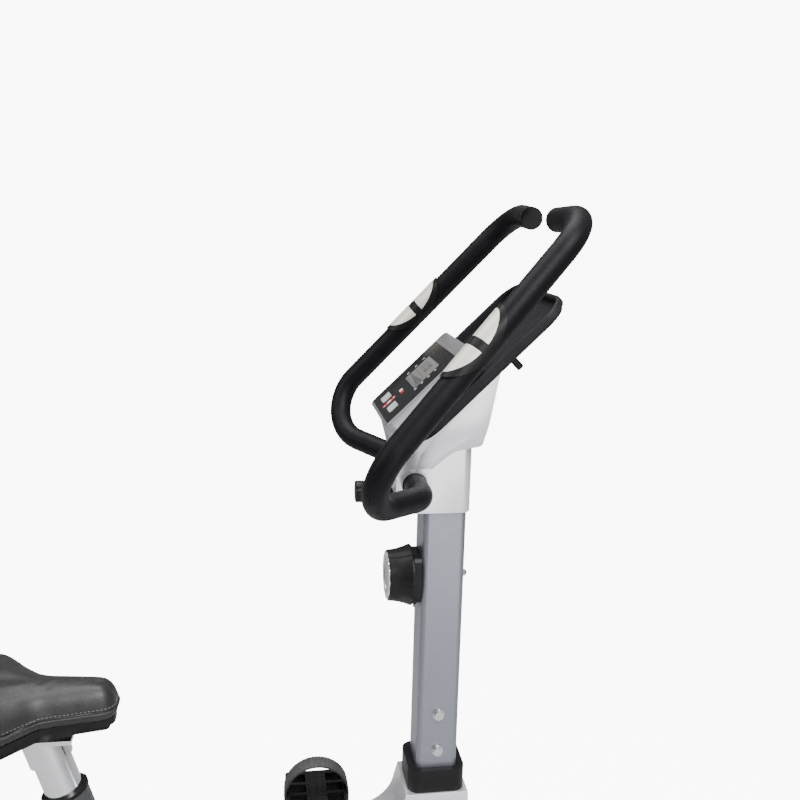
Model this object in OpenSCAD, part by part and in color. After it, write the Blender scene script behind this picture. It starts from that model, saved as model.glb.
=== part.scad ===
// Upright magnetic exercise bike: a base on two stabilisers, a belt drive inside two side covers,
// a saddle on a sliding post, and a mast that carries the tilting handlebar, the tray and the console.
// +X points forwards, the way the rider faces, +Y to the rider's left, and z = 0 is the floor.

/* [Base] */
// Distance between the centres of the front and rear stabilisers
base_length = 860; // [800:10:960]
// Overall width across the stabiliser end caps
base_width = 520; // [460:10:620]
// Front to back size of a stabiliser tube
stab_depth = 70; // [60:1:80]
// Height of a stabiliser tube
stab_h = 44; // [40:1:50]
// Gap under a stabiliser tube, which the caps fill
floor_gap = 8; // [6:1:12]
// Height of the main beam
beam_h = 40; // [35:1:60]
// Width of the main beam
beam_w = 60; // [56:1:70]
// Radius of a transport wheel
wheel_r = 22; // [18:1:24]
// Width of a transport wheel
wheel_w = 20; // [14:1:26]

/* [Drive] */
// Distance from the mast centre line back to the crank axis
crank_setback = 295; // [280:5:330]
// Height of the crank axis
crank_z = 330; // [315:5:345]
// Crank length, axis to pedal axis
crank_len = 170; // [150:5:175]
// Radius of the crank axle
axle_r = 10; // [8:0.5:11]
// Radius of the large belt pulley
pulley_r = 110; // [95:1:115]
// Height of the flywheel axis
fly_z = 232; // [228:1:236]
// Radius of the flywheel
fly_r = 115; // [95:1:118]
// Width of the flywheel rim
fly_w = 30; // [20:1:34]
// Radius of the small belt pulley
fly_pulley_r = 20; // [16:1:26]

/* [Seat] */
// Lean of the seat tube back from the vertical, in degrees
seat_angle = 17; // [14:0.5:19]
// Length of the seat tube along its axis
seat_tube_len = 490; // [440:5:510]
// Outer radius of the seat post
post_r = 25; // [20:0.5:26]
// Height of the saddle top at its lowest setting
saddle_top = 730; // [720:5:760]
// Length of the saddle
saddle_len = 265; // [240:5:290]
// Width of the saddle at the back
saddle_w = 230; // [190:5:250]

/* [Mast] */
// Distance from the front stabiliser back to the mast centre line
mast_setback = 194; // [180:2:210]
// Front to back size of the mast tube
mast_d = 58; // [50:1:62]
// Width of the mast tube
mast_w = 60; // [52:1:62]
// Height of the lower end of the mast
mast_foot = 560; // [550:5:600]
// Height of the handlebar's cross tube
bar_z = 996; // [940:2:1060]
// Distance from the cross tube down to the axis of the tension knob
knob_drop = 140; // [125:5:240]
// Largest radius of the tension knob
knob_r = 42; // [34:1:44]

/* [Handlebar] */
// Outer diameter of the handlebar tube
bar_d = 25.4; // [20:0.1:26]
// Thickness of the foam grips
foam_t = 2.8; // [2:0.1:3.4]
// Width of the handlebar between the tube centres at its widest
bar_w = 444; // [430:2:540]
// Rise of the handlebar from the cross tube to the front ends
bar_rise = 347; // [300:1:420]
// Forward reach of the front ends from the cross tube
bar_reach = 172; // [150:1:210]

/* [Console] */
// Slope of the console and the tray, in degrees from the horizontal
slope = 44.4; // [43:0.1:46]
// Length of the console face along the slope
face_len = 119; // [110:1:120]
// Width of the console face
face_w = 138; // [120:1:140]
// Width of the tray over its rim
tray_w = 232; // [200:2:260]
// Length of the tray beyond the top of the console face
tray_over = 142; // [110:2:160]

/* [Hidden] */
$fn = 48;

// Clearances, and how far a cutter runs past what it cuts
run_gap = 0.06;
seam = 0.3;
slack = 0.5;
past = 1;

// Walls of the steel tubes and the moulded covers
tube_wall = 2;
cover_wall = 3;

// Base levels and places along the bike
wheel_gap = 3;
cap_depth = stab_depth + 10;
wheel_reach = stab_depth / 2 + wheel_gap + 2 * wheel_r;
mid_shift = (wheel_reach - cap_depth / 2) / 2;
front_x = base_length / 2 - mid_shift;
rear_x = -base_length / 2 - mid_shift;
stab_top = floor_gap + stab_h;
stab_z = floor_gap + stab_h / 2;
beam_top = stab_top + beam_h;
beam_over = 25;
cap_len = 45;
cap_end = 5;
cap_top = 4;
wheel_x = front_x + stab_depth / 2 + wheel_gap + wheel_r;
wheel_z = wheel_r + 4;
pin_r = 4;
lug_t = 6;
wheel_y = base_width / 2 - cap_len - lug_t - 1 - wheel_w / 2;
bolt_r = 4;
bolt_pitch = 18;

// Drive
mast_x = front_x - mast_setback;
crank_x = mast_x - crank_setback;
crank_rest = 35;
shell_r = 22;
shell_half = 34;
bearing_w = 10;
belt_y = -46;
belt_w = 10;
pulley_w = 14;
belt_gap = 0.5;
belt_t = 3;
arm_in = 80;
arm_t = 14;
pedal_in = arm_in + arm_t + 6;
pedal_w = 92;
pedal_half = 48;
pedal_t = 26;
spindle_r = 7;
strap_w = 28;
strap_t = 3;
fork_in = fly_w / 2 + 7;
fork_t = 6;
fork_top = fly_z + fly_r + 12;
fly_axle_r = 8.5;
stub_gap = 0.2;
stub_top = mast_foot + 140;
bridge_t = 6;
magnet_gap = 1.5;
magnet_t = 3;
shoe_t = 8;
shoe_r = fly_r + magnet_gap + magnet_t;
shoe_half = 50;
shoe_pivot = [mast_x + (shoe_r + shoe_t / 2) * cos(shoe_half), fly_z - (shoe_r + shoe_t / 2) * sin(shoe_half)];
brake_open = 5;

// Side covers
cover_half = 72;
cover_top = mast_foot - 15;
cover_foot = beam_top + 2;
cover_back = crank_x - pulley_r - 16;
cover_front = mast_x + shoe_r + shoe_t + 30;

// Seat
seat_x = crank_x - 68;
seat_r = post_r + 5;
post_top = (saddle_top - 88 - beam_top) / cos(seat_angle);
post_len = 470;
bush_len = 70;
bush_lip = 5;
seat_knob_at = seat_tube_len - 45;
boss_r = 12;
boss_out = 14;
saddle_x = seat_x - post_top * sin(seat_angle) - 8;
saddle_plate_z = saddle_top - 80;
saddle_base_z = saddle_plate_z + 6;
saddle_base_t = 20;

// Mast, clamp and handlebar
mast_r = 8;
foot_gap = 16;
bar_x = mast_x - mast_d / 2 - foot_gap;
mast_top = bar_z + 60;
bar_r = bar_d / 2;
foam_r = bar_r + foam_t;
bar_wall = 1.8;
lap = 0.5;
elbow_step = 0.03;
foam_from = 38;
clamp_half = 28;
clamp_over = 20;
clamp_under = 28;
clamp_t = 19;
clamp_bolt_drop = 20;
knob_z = bar_z - knob_drop;
knob_shaft_r = 6;
knob_axis_x = mast_x - mast_d / 2;

// Console and tray, in their own sloping frame: u runs up the slope, n stands out of the face
slope_at = [bar_x + 43, bar_z + 172];
case_t = 14;
case_margin = 5;
back_t = 24;
back_in = 7;
tray_floor = -41;
tray_rim = -27;
peg_u = 56;
tray_low = -(face_len - 9);
lcd_from = -65;
lcd_len = 44;
lcd_w = 74;
button_u = -101.5;
button_y = 29;
button_len = 15;
button_w = 24;

// ---- Helpers ----

function unit(v) = v / norm(v);
function turn_at(p, i) = acos(unit(p[i] - p[i - 1]) * unit(p[i + 1] - p[i]));
function tangent_at(p, r, i) = r[i] * tan(turn_at(p, i) / 2);
function mirror_y(p) = [p.x, -p.y, p.z];
function rotated(v, a) = [v.x * cos(a) - v.y * sin(a), v.x * sin(a) + v.y * cos(a)];

// Points of a polygon with its corners rounded to the radii given, one for each corner
function round_corner(a, b, c, r, n) =
    let (u = unit(a - b), v = unit(c - b), half = acos(u * v) / 2,
         m = b + unit(u + v) * r / sin(half), s = b + u * r / tan(half) - m,
         way = sign(u.x * v.y - u.y * v.x), turn = -way * (180 - 2 * half))
    [for (k = [0:n]) m + rotated(s, turn * k / n)];
function rounded(p, r, n = 8) =
    [for (i = [0:len(p) - 1])
        each (r[i] == 0 ? [p[i]]
            : round_corner(p[(i + len(p) - 1) % len(p)], p[i], p[(i + 1) % len(p)], r[i], n))];
function box_points(w, h, r, n = 8) =
    rounded([[-w / 2, -h / 2], [w / 2, -h / 2], [w / 2, h / 2], [-w / 2, h / 2]], [r, r, r, r], n);

// A flat outline in X and Z, extruded along Y from y0 to y1
module along_y(y0, y1) translate([0, y1, 0]) rotate([90, 0, 0]) linear_extrude(y1 - y0) children();
// A flat outline in Y and Z, extruded along X from x0 to x1
module along_x(x0, x1)
    translate([x0, 0, 0]) rotate([90, 0, 90]) linear_extrude(x1 - x0) children();
// A round bar along Y
module rod_y(x, z, r, y0, y1) translate([x, y1, z]) rotate([90, 0, 0]) cylinder(r = r, h = y1 - y0);
// A round bar along X
module rod_x(y, z, r, x0, x1) translate([x0, y, z]) rotate([0, 90, 0]) cylinder(r = r, h = x1 - x0);
// A solid of revolution about a line along Y, from a profile in radius and Y
module turned_y(x, z) translate([x, 0, z]) rotate([-90, 0, 0]) rotate_extrude() children();
module both_sides() {
    children();
    mirror([0, 1, 0]) children();
}
module one_side(side) {
    if (side > 0) children();
    else mirror([0, 1, 0]) children();
}

// A round bar through a list of corner points, with a bend of its own radius at each corner
module straight(a, b, r) {
    d = b - a;
    translate(a) rotate([0, acos(d.z / norm(d)), atan2(d.y, d.x)]) cylinder(r = r, h = norm(d));
}
module elbow(p, rad, i, r) {
    d1 = unit(p[i] - p[i - 1]);
    d2 = unit(p[i + 1] - p[i]);
    a = turn_at(p, i);
    c = p[i] + unit(d2 - d1) * rad[i] / cos(a / 2);
    x = unit(p[i] - d1 * tangent_at(p, rad, i) - c);
    z = cross(x, d1);
    multmatrix([[x.x, d1.x, z.x, c.x], [x.y, d1.y, z.y, c.y], [x.z, d1.z, z.z, c.z], [0, 0, 0, 1]])
        rotate_extrude(angle = a) translate([rad[i], 0]) circle(r = r - elbow_step);
}
module bent_bar(p, rad, r, ends = 0) {
    last = len(p) - 1;
    for (i = [0:last - 1]) {
        d = unit(p[i + 1] - p[i]);
        a = p[i] + d * (i == 0 ? -ends : tangent_at(p, rad, i) - lap);
        b = p[i + 1] - d * (i == last - 1 ? -ends : tangent_at(p, rad, i + 1) - lap);
        straight(a, b, r);
    }
    for (i = [1:last - 1]) elbow(p, rad, i, r);
}

// The sloping frame of the console and the tray
module on_slope() translate([slope_at.x, 0, slope_at.y]) rotate([0, -slope, 0]) children();
module slab(u0, u1, half, r, n0, n1)
    translate([0, 0, n0]) linear_extrude(n1 - n0)
        polygon(rounded([[u0, -half], [u1, -half], [u1, half], [u0, half]], [r, r, r, r]));
function slope_point(u, n) =
    slope_at + [u * cos(slope) - n * sin(slope), u * sin(slope) + n * cos(slope)];
// The tilted frame of the seat tube, with z along the tube
module on_seat() translate([seat_x, 0, beam_top]) rotate([0, -seat_angle, 0]) children();

// ---- Base ----

module stabiliser(x) {
    reach = base_width / 2 - cap_end - slack;
    difference() {
        translate([x, 0, stab_z]) along_y(-reach, reach) polygon(box_points(stab_depth, stab_h, 18));
        translate([x, 0, stab_z]) along_y(-reach - past, reach + past)
            polygon(box_points(stab_depth - 2 * tube_wall, stab_h - 2 * tube_wall, 16));
        for (y = [-bolt_pitch, bolt_pitch])
            translate([x, y, 0]) cylinder(r = bolt_r + 0.2, h = stab_top + past);
    }
}
module front_stabiliser() color("dimgray") stabiliser(front_x);
module rear_stabiliser() color("dimgray") stabiliser(rear_x);

module base_beam() color("dimgray") difference() {
    translate([0, 0, stab_top + beam_h / 2]) along_x(rear_x - beam_over, front_x + beam_over)
        polygon(box_points(beam_w, beam_h, 5));
    translate([0, 0, stab_top + beam_h / 2]) along_x(rear_x - beam_over - past, front_x + beam_over + past)
        polygon(box_points(beam_w - 2 * tube_wall, beam_h - 2 * tube_wall, 3));
    for (x = [rear_x, front_x], y = [-bolt_pitch, bolt_pitch])
        translate([x, y, stab_top - past]) cylinder(r = bolt_r + 0.2, h = beam_h + 2 * past);
}

// A moulded cap over one end of a stabiliser; a front cap also has the lug of its transport wheel
module end_cap(x, side, wheel) one_side(side) difference() {
    y0 = base_width / 2 - cap_len;
    y1 = base_width / 2;
    union() {
        intersection() {
            translate([x, 0, stab_top / 2 + cap_top / 2]) along_y(y0, y1)
                polygon(box_points(cap_depth, stab_top + cap_top, 22));
            linear_extrude(stab_top + cap_top) polygon([for (q = rounded(
                [[-cap_depth / 2, y0], [cap_depth / 2, y0], [cap_depth / 2, y1], [-cap_depth / 2, y1]],
                [0, 0, 14, 14])) [q.x + x, q.y]]);
        }
        if (wheel) along_y(y0 - lug_t, y0 + lap) {
            translate([wheel_x, wheel_z]) circle(r = 11);
            translate([front_x + stab_depth / 2 + 1, wheel_z - 10])
                square([wheel_x - front_x - stab_depth / 2 - 1, 20]);
        }
        if (wheel) translate([front_x + stab_depth / 2 + 1, y0 - lug_t, wheel_z - 10]) cube([4, lug_t + 8, 20]);
    }
    translate([x, 0, stab_z]) along_y(y0 - past, y1 - cap_end)
        polygon(box_points(stab_depth + 2 * 0.15, stab_h + 2 * 0.15, 18.15));
    if (wheel) rod_y(wheel_x, wheel_z, pin_r, y0 - lug_t - past, y0 + 2);
}
module end_caps() color("black") for (side = [-1, 1]) {
    end_cap(front_x, side, true);
    end_cap(rear_x, side, false);
}

module transport_wheel(side) one_side(side) translate([wheel_x, wheel_y, wheel_z]) rotate([90, 0, 0])
    rotate_extrude() polygon(concat(
        [[pin_r + run_gap, -wheel_w / 2], [wheel_r * 0.55, -wheel_w / 2], [wheel_r * 0.6, -wheel_w / 2 + 2],
         [wheel_r * 0.8, -wheel_w / 2 + 2]],
        rounded([[wheel_r * 0.84, -wheel_w / 2], [wheel_r, -wheel_w / 2], [wheel_r, wheel_w / 2],
                 [wheel_r * 0.84, wheel_w / 2]], [0, 3, 3, 0]),
        [[wheel_r * 0.8, wheel_w / 2 - 2], [wheel_r * 0.6, wheel_w / 2 - 2], [wheel_r * 0.55, wheel_w / 2],
         [pin_r + run_gap, wheel_w / 2]]));
module wheel_left() color("gray") transport_wheel(1);
module wheel_right() color("gray") transport_wheel(-1);
module wheel_pins() color("silver") both_sides() {
    rod_y(wheel_x, wheel_z, pin_r, wheel_y - wheel_w / 2 - 1, base_width / 2 - cap_len + 2);
    rod_y(wheel_x, wheel_z, pin_r + 3, wheel_y - wheel_w / 2 - 4, wheel_y - wheel_w / 2 - 1);
}

// Carriage bolts of the stabilisers, bolts of the mast and the pivot pin of the brake bracket
module carriage_bolt(x, y) translate([x, y, 0]) {
    translate([0, 0, floor_gap - 3]) cylinder(r = 2 * bolt_r, h = 3);
    translate([0, 0, floor_gap - 1]) cylinder(r = bolt_r, h = beam_top - floor_gap + 9);
    translate([0, 0, beam_top]) cylinder(r = 1.7 * bolt_r, h = 6.5, $fn = 6);
}
mast_bolt_z = [mast_foot + 45, mast_foot + 100];
module mast_bolt(z) {
    rod_y(mast_x, z, bolt_r, mast_w / 2 - tube_wall - stub_gap - 4, mast_w / 2 + 3);
    rod_y(mast_x, z, 2 * bolt_r, mast_w / 2, mast_w / 2 + 1.5);
    rod_y(mast_x, z, 1.6 * bolt_r, mast_w / 2 + 1, mast_w / 2 + 6);
}
module frame_bolts() color("silver") {
    for (x = [rear_x, front_x], y = [-bolt_pitch, bolt_pitch]) carriage_bolt(x, y);
    both_sides() for (z = mast_bolt_z) mast_bolt(z);
    rod_y(shoe_pivot.x, shoe_pivot.y, pin_r, -fork_in - fork_t - 4, fork_in + fork_t + 4);
}

// ---- Seat tube and post ----

module seat_tube() color("dimgray") difference() {
    on_seat() union() {
        translate([0, 0, -seat_r]) cylinder(r = seat_r, h = seat_tube_len + seat_r);
        translate([-seat_r - boss_out, 0, seat_knob_at]) rotate([0, 90, 0])
            cylinder(r = boss_r, h = boss_out + seat_r / 2);
    }
    on_seat() translate([0, 0, -2 * seat_r]) cylinder(r = post_r + 2.5, h = seat_tube_len + 2 * seat_r + past);
    on_seat() translate([-seat_r - boss_out - past, 0, seat_knob_at]) rotate([0, 90, 0])
        cylinder(r = 5 + run_gap, h = boss_out + seat_r);
    translate([seat_x - 100, -100, beam_top - 200]) cube([300, 200, 200]);
}
module seat_bush() color("black") on_seat() difference() {
    union() {
        translate([0, 0, seat_tube_len - bush_len]) cylinder(r = post_r + 2.45, h = bush_len);
        translate([0, 0, seat_tube_len]) cylinder(r = seat_r + 1.5, h = bush_lip);
    }
    translate([0, 0, seat_tube_len - bush_len - past]) cylinder(r = post_r + run_gap, h = 2 * bush_len);
    translate([-seat_r - past, 0, seat_knob_at]) rotate([0, 90, 0]) cylinder(r = 5.5, h = seat_r);
}
module seat_post() color("silver") {
    on_seat() difference() {
        translate([0, 0, post_top - post_len]) cylinder(r = post_r, h = post_len);
        translate([0, 0, post_top - post_len - past]) cylinder(r = post_r - tube_wall, h = post_len - 5);
    }
    difference() {
        union() {
            on_seat() translate([0, 0, post_top - 30]) cylinder(r = post_r + 4, h = 60);
            translate([saddle_x - 45, -35, saddle_plate_z]) cube([95, 70, saddle_base_z - saddle_plate_z]);
        }
        on_seat() translate([0, 0, post_top - 31]) cylinder(r = post_r - lap, h = 31);
        translate([saddle_x - 100, -100, saddle_base_z]) cube([200, 200, 100]);
    }
}
module lobed_head(r, h, lobes, bite) difference() {
    cylinder(r = r, h = h);
    for (k = [0:lobes - 1]) rotate([0, 0, k * 360 / lobes])
        translate([r + bite * 1.6, 0, -past]) cylinder(r = bite * 2.1, h = h + 2 * past);
}
module seat_knob() color("black") on_seat()
    translate([-post_r - slack, 0, seat_knob_at]) rotate([0, -90, 0]) {
        cylinder(r = 5, h = seat_r - post_r + boss_out + 4);
        translate([0, 0, seat_r - post_r + boss_out + 2]) cylinder(r = 13, h = 8);
        translate([0, 0, seat_r - post_r + boss_out + 9]) lobed_head(26, 22, 6, 5);
    }

function saddle_outline(inset) = [for (q = rounded(
    [[saddle_len * 0.42 - inset, -28 + inset], [saddle_len * 0.42 - inset, 28 - inset],
     [saddle_len * 0.05, 44 - inset], [-saddle_len * 0.22, saddle_w / 2 - inset],
     [-saddle_len * 0.58 + inset, saddle_w * 0.36 - inset], [-saddle_len * 0.58 + inset, -saddle_w * 0.36 + inset],
     [-saddle_len * 0.22, -saddle_w / 2 + inset], [saddle_len * 0.05, -44 + inset]],
    [24 - inset, 24 - inset, 40, 45, 40, 40, 45, 40])) [q.x + saddle_x, q.y]];
module saddle_base() color("black") translate([0, 0, saddle_base_z]) {
    linear_extrude(saddle_base_t / 2 + past) polygon(saddle_outline(16));
    translate([0, 0, saddle_base_t / 2]) linear_extrude(saddle_base_t / 2) polygon(saddle_outline(8));
}
module saddle_cushion() color("dimgray") intersection() {
    translate([0, 0, saddle_base_z + saddle_base_t]) linear_extrude(60) polygon(saddle_outline(1));
    along_y(-saddle_w, saddle_w) polygon(rounded(
        [[saddle_x - saddle_len, saddle_base_z], [saddle_x + saddle_len, saddle_base_z],
         [saddle_x + saddle_len, saddle_top - 14], [saddle_x + saddle_len * 0.3, saddle_top - 8],
         [saddle_x - saddle_len * 0.1, saddle_top - 8], [saddle_x - saddle_len * 0.4, saddle_top],
         [saddle_x - saddle_len, saddle_top - 4]], [0, 0, 0, 60, 60, 60, 0]));
}

// ---- Welded frame of the drive ----

module crank_shell() color("dimgray") difference() {
    rod_y(crank_x, crank_z, shell_r, -shell_half, shell_half);
    rod_y(crank_x, crank_z, 17.05, -shell_half - past, -shell_half + bearing_w);
    rod_y(crank_x, crank_z, 17.05, shell_half - bearing_w, shell_half + past);
    rod_y(crank_x, crank_z, 14, -shell_half - past, shell_half + past);
}
stay_half = 18;
stay_to = [mast_x - mast_d / 2, fork_top + bridge_t + 62];
module stay(a, b) {
    d = b - a;
    translate([a.x, 0, a.y]) rotate([0, -atan2(d.y, d.x), 0])
        translate([0, -stay_half, -stay_half]) cube([norm(d), 2 * stay_half, 2 * stay_half]);
}
seat_at_crank = [seat_x - (crank_z - beam_top) * tan(seat_angle), crank_z];
module frame_stays() color("dimgray") difference() {
    union() {
        stay(seat_at_crank, [crank_x - 14, crank_z]);
        stay([crank_x, crank_z] + 14 * unit(stay_to - [crank_x, crank_z]), stay_to + [12, 0]);
    }
    rod_y(crank_x, crank_z, shell_r, -shell_half, shell_half);
    on_seat() cylinder(r = seat_r, h = seat_tube_len);
    translate([mast_x - mast_d / 2 + tube_wall + stub_gap, -mast_w, fork_top]) cube([mast_d, 2 * mast_w, 200]);
}
stub_d = mast_d - 2 * tube_wall - 2 * stub_gap;
stub_w = mast_w - 2 * tube_wall - 2 * stub_gap;
module flywheel_fork() color("dimgray") difference() {
    union() {
        both_sides() along_y(fork_in, fork_in + fork_t) polygon(
            [[mast_x - 62, beam_top], [shoe_pivot.x + 16, beam_top], [shoe_pivot.x + 16, shoe_pivot.y + 14],
             [mast_x + 44, fly_z + 40], [mast_x + 36, fork_top + past], [mast_x - 36, fork_top + past],
             [mast_x - 62, fly_z]]);
        translate([mast_x - 40, -fork_in - fork_t, fork_top]) cube([80, 2 * (fork_in + fork_t), bridge_t]);
        translate([mast_x, 0, fork_top + bridge_t / 2]) linear_extrude(stub_top - fork_top - bridge_t / 2)
            polygon(box_points(stub_d, stub_w, mast_r - 2));
    }
    translate([mast_x, 0, fork_top - past]) linear_extrude(stub_top - fork_top + 2 * past)
        polygon(box_points(stub_d - 5, stub_w - 5, 4));
    translate([mast_x + 10, -4, fork_top + bridge_t + 10]) cube([stub_d, 8, 46]);
    rod_y(mast_x, fly_z, 16.05, -fork_in - fork_t - past, fork_in + fork_t + past);
    rod_y(shoe_pivot.x, shoe_pivot.y, pin_r + 0.05, -fork_in - fork_t - past, fork_in + fork_t + past);
    for (z = mast_bolt_z) rod_y(mast_x, z, bolt_r + 0.1, -mast_w, mast_w);
}
module bearing(x, z, ro, ri, y0, y1) difference() {
    rod_y(x, z, ro, y0, y1);
    rod_y(x, z, ri, y0 - past, y1 + past);
}
module bearings() color("silver") both_sides() {
    bearing(crank_x, crank_z, 17, axle_r + run_gap, shell_half - bearing_w, shell_half);
    bearing(mast_x, fly_z, 16, fly_axle_r + run_gap, fork_in, fork_in + fork_t);
}

// ---- Crank set ----

module crank_axle() color("silver") rod_y(crank_x, crank_z, axle_r, -arm_in - arm_t - 2, arm_in + arm_t + 2);
module crank_pulley() color("dimgray") difference() {
    union() {
        rod_y(crank_x, crank_z, pulley_r - 8, belt_y - 3, belt_y + 3);
        rod_y(crank_x, crank_z, axle_r + 12, belt_y - pulley_w / 2 - 4, belt_y + pulley_w / 2);
        difference() {
            rod_y(crank_x, crank_z, pulley_r, belt_y - pulley_w / 2, belt_y + pulley_w / 2);
            rod_y(crank_x, crank_z, pulley_r - 9, belt_y - pulley_w, belt_y + pulley_w);
        }
    }
    rod_y(crank_x, crank_z, axle_r, belt_y - pulley_w, belt_y + pulley_w);
    for (k = [0:4])
        rod_y(crank_x + (pulley_r * 0.56) * cos(k * 72), crank_z + (pulley_r * 0.56) * sin(k * 72),
            pulley_r * 0.2, belt_y - pulley_w, belt_y + pulley_w);
}
module on_crank(side) one_side(side)
    translate([crank_x, 0, crank_z]) rotate([0, side > 0 ? -crank_rest : 180 - crank_rest, 0]) children();
pedal_at = [for (side = [-1, 1])
    [crank_x + side * crank_len * cos(crank_rest), crank_z + side * crank_len * sin(crank_rest)]];
module crank_arm(side) on_crank(side) difference() {
    along_y(arm_in, arm_in + arm_t) {
        circle(r = 20);
        translate([crank_len, 0]) circle(r = 14);
        polygon([[0, -15], [crank_len, -10], [crank_len, 10], [0, 15]]);
    }
    rod_y(0, 0, axle_r, arm_in - past, arm_in + arm_t + past);
    rod_y(crank_len, 0, spindle_r, arm_in - past, arm_in + arm_t + past);
}
module crank_arm_left() color("silver") crank_arm(1);
module crank_arm_right() color("silver") crank_arm(-1);
module crank_nuts() color("black") both_sides() difference() {
    rod_y(crank_x, crank_z, axle_r + 5, arm_in + arm_t, arm_in + arm_t + 6);
    rod_y(crank_x, crank_z, axle_r, arm_in + arm_t - past, arm_in + arm_t + 2);
}
module pedal_spindles() color("silver") for (side = [-1, 1]) on_crank(side) {
    rod_y(crank_len, 0, spindle_r, arm_in, pedal_in + pedal_w + 2);
    rod_y(crank_len, 0, spindle_r + 3, arm_in + arm_t, pedal_in - 1);
    rod_y(crank_len, 0, spindle_r + 2, pedal_in + pedal_w + 1, pedal_in + pedal_w + 5);
}
module pedal(side) {
    at = pedal_at[side > 0 ? 1 : 0];
    one_side(side) translate([at.x, 0, at.y]) difference() {
        along_y(pedal_in, pedal_in + pedal_w) polygon(box_points(2 * pedal_half, pedal_t, 5));
        rod_y(0, 0, spindle_r + run_gap, pedal_in - past, pedal_in + pedal_w + past);
        for (s = [-1, 1], k = [0:2]) translate([s * 29 - 13, pedal_in + 8 + k * 27, -pedal_t]) cube([26, 21, 2 * pedal_t]);
    }
}
module pedal_left() color("black") pedal(1);
module pedal_right() color("black") pedal(-1);
module strap(side) {
    at = pedal_at[side > 0 ? 1 : 0];
    y0 = pedal_in + pedal_w / 2 - strap_w / 2;
    one_side(side) translate([at.x, 0, at.y]) along_y(y0, y0 + strap_w) polygon(concat(
        [[pedal_half + strap_t, -7]],
        [for (a = [0:7.5:180]) [0, 8] + (pedal_half + strap_t) * [cos(a), sin(a)]],
        [[-pedal_half - strap_t, -7], [-pedal_half, -7]],
        [for (a = [180:-7.5:0]) [0, 8] + pedal_half * [cos(a), sin(a)]],
        [[pedal_half, -7]]));
}
module strap_left() color("darkgray") strap(1);
module strap_right() color("darkgray") strap(-1);

// ---- Flywheel, belt and brake ----

module flywheel() color("slategray") turned_y(mast_x, fly_z) polygon(
    [[fly_axle_r, -fly_w / 2], [24, -fly_w / 2], [24, -6], [fly_r - 22, -6], [fly_r - 22, -fly_w / 2],
     [fly_r - 1, -fly_w / 2], [fly_r, -fly_w / 2 + 1], [fly_r, fly_w / 2 - 1], [fly_r - 1, fly_w / 2],
     [fly_r - 22, fly_w / 2], [fly_r - 22, 6], [24, 6], [24, fly_w / 2], [fly_axle_r, fly_w / 2]]);
module flywheel_axle() color("silver")
    rod_y(mast_x, fly_z, fly_axle_r, belt_y - pulley_w / 2 - 3, fork_in + fork_t + 4);
module flywheel_pulley() color("silver") difference() {
    rod_y(mast_x, fly_z, fly_pulley_r, belt_y - pulley_w / 2, belt_y + pulley_w / 2);
    rod_y(mast_x, fly_z, fly_axle_r, belt_y - pulley_w, belt_y + pulley_w);
}
// The belt's outline at a distance e outside both pulleys
belt_run = [mast_x - crank_x, fly_z - crank_z];
belt_turn = acos((pulley_r - fly_pulley_r) / norm(belt_run));
belt_dir = atan2(belt_run.y, belt_run.x);
function belt_outline(e) = concat(
    [for (k = [0:40]) let (a = belt_dir + belt_turn + k * (360 - 2 * belt_turn) / 40)
        [crank_x, crank_z] + (pulley_r + e) * [cos(a), sin(a)]],
    [for (k = [0:16]) let (a = belt_dir - belt_turn + k * 2 * belt_turn / 16)
        [mast_x, fly_z] + (fly_pulley_r + e) * [cos(a), sin(a)]]);
module drive_belt() color("black") along_y(belt_y - belt_w / 2, belt_y + belt_w / 2) difference() {
    polygon(belt_outline(belt_gap + belt_t));
    polygon(belt_outline(belt_gap));
}
module brake_swing() translate([shoe_pivot.x, 0, shoe_pivot.y]) rotate([0, brake_open, 0])
    translate([-shoe_pivot.x, 0, -shoe_pivot.y]) children();
function sector(r0, r1, a0, a1, n) = concat(
    [for (k = [0:n]) r0 * [cos(a0 + k * (a1 - a0) / n), sin(a0 + k * (a1 - a0) / n)]],
    [for (k = [n:-1:0]) r1 * [cos(a0 + k * (a1 - a0) / n), sin(a0 + k * (a1 - a0) / n)]]);
module brake_bracket() color("silver") brake_swing() difference() {
    union() {
        translate([mast_x, 0, fly_z]) along_y(-14, 14)
            polygon(sector(shoe_r, shoe_r + shoe_t, -shoe_half, shoe_half, 24));
        rod_y(shoe_pivot.x, shoe_pivot.y, 7, -fork_in + 1, fork_in - 1);
    }
    rod_y(shoe_pivot.x, shoe_pivot.y, pin_r + run_gap, -fork_in, fork_in);
}
module brake_magnets() color("darkgray") brake_swing() translate([mast_x, 0, fly_z])
    for (k = [-1.5:1:1.5]) rotate([0, -k * 20, 0])
        along_y(-11, 11) polygon(sector(shoe_r - magnet_t, shoe_r - 0.15, -7, 7, 4));

// The cable from the tension knob down the mast to the top of the brake bracket
shoe_tip = shoe_pivot + rotated([0, 2 * (shoe_r + shoe_t / 2) * sin(shoe_half)], -brake_open);
cable_pts = [[mast_x - 6, 0, knob_z - 24], [mast_x + 6, 0, knob_z - 70], [mast_x + 6, 0, fork_top + 58],
             [shoe_tip.x - 8, 0, shoe_tip.y + 34], [shoe_tip.x, 0, shoe_tip.y + 5]];
module brake_cable() color("black") bent_bar(cable_pts, [0, 60, 40, 14, 0], 2.5);

// ---- Side covers ----

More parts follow.
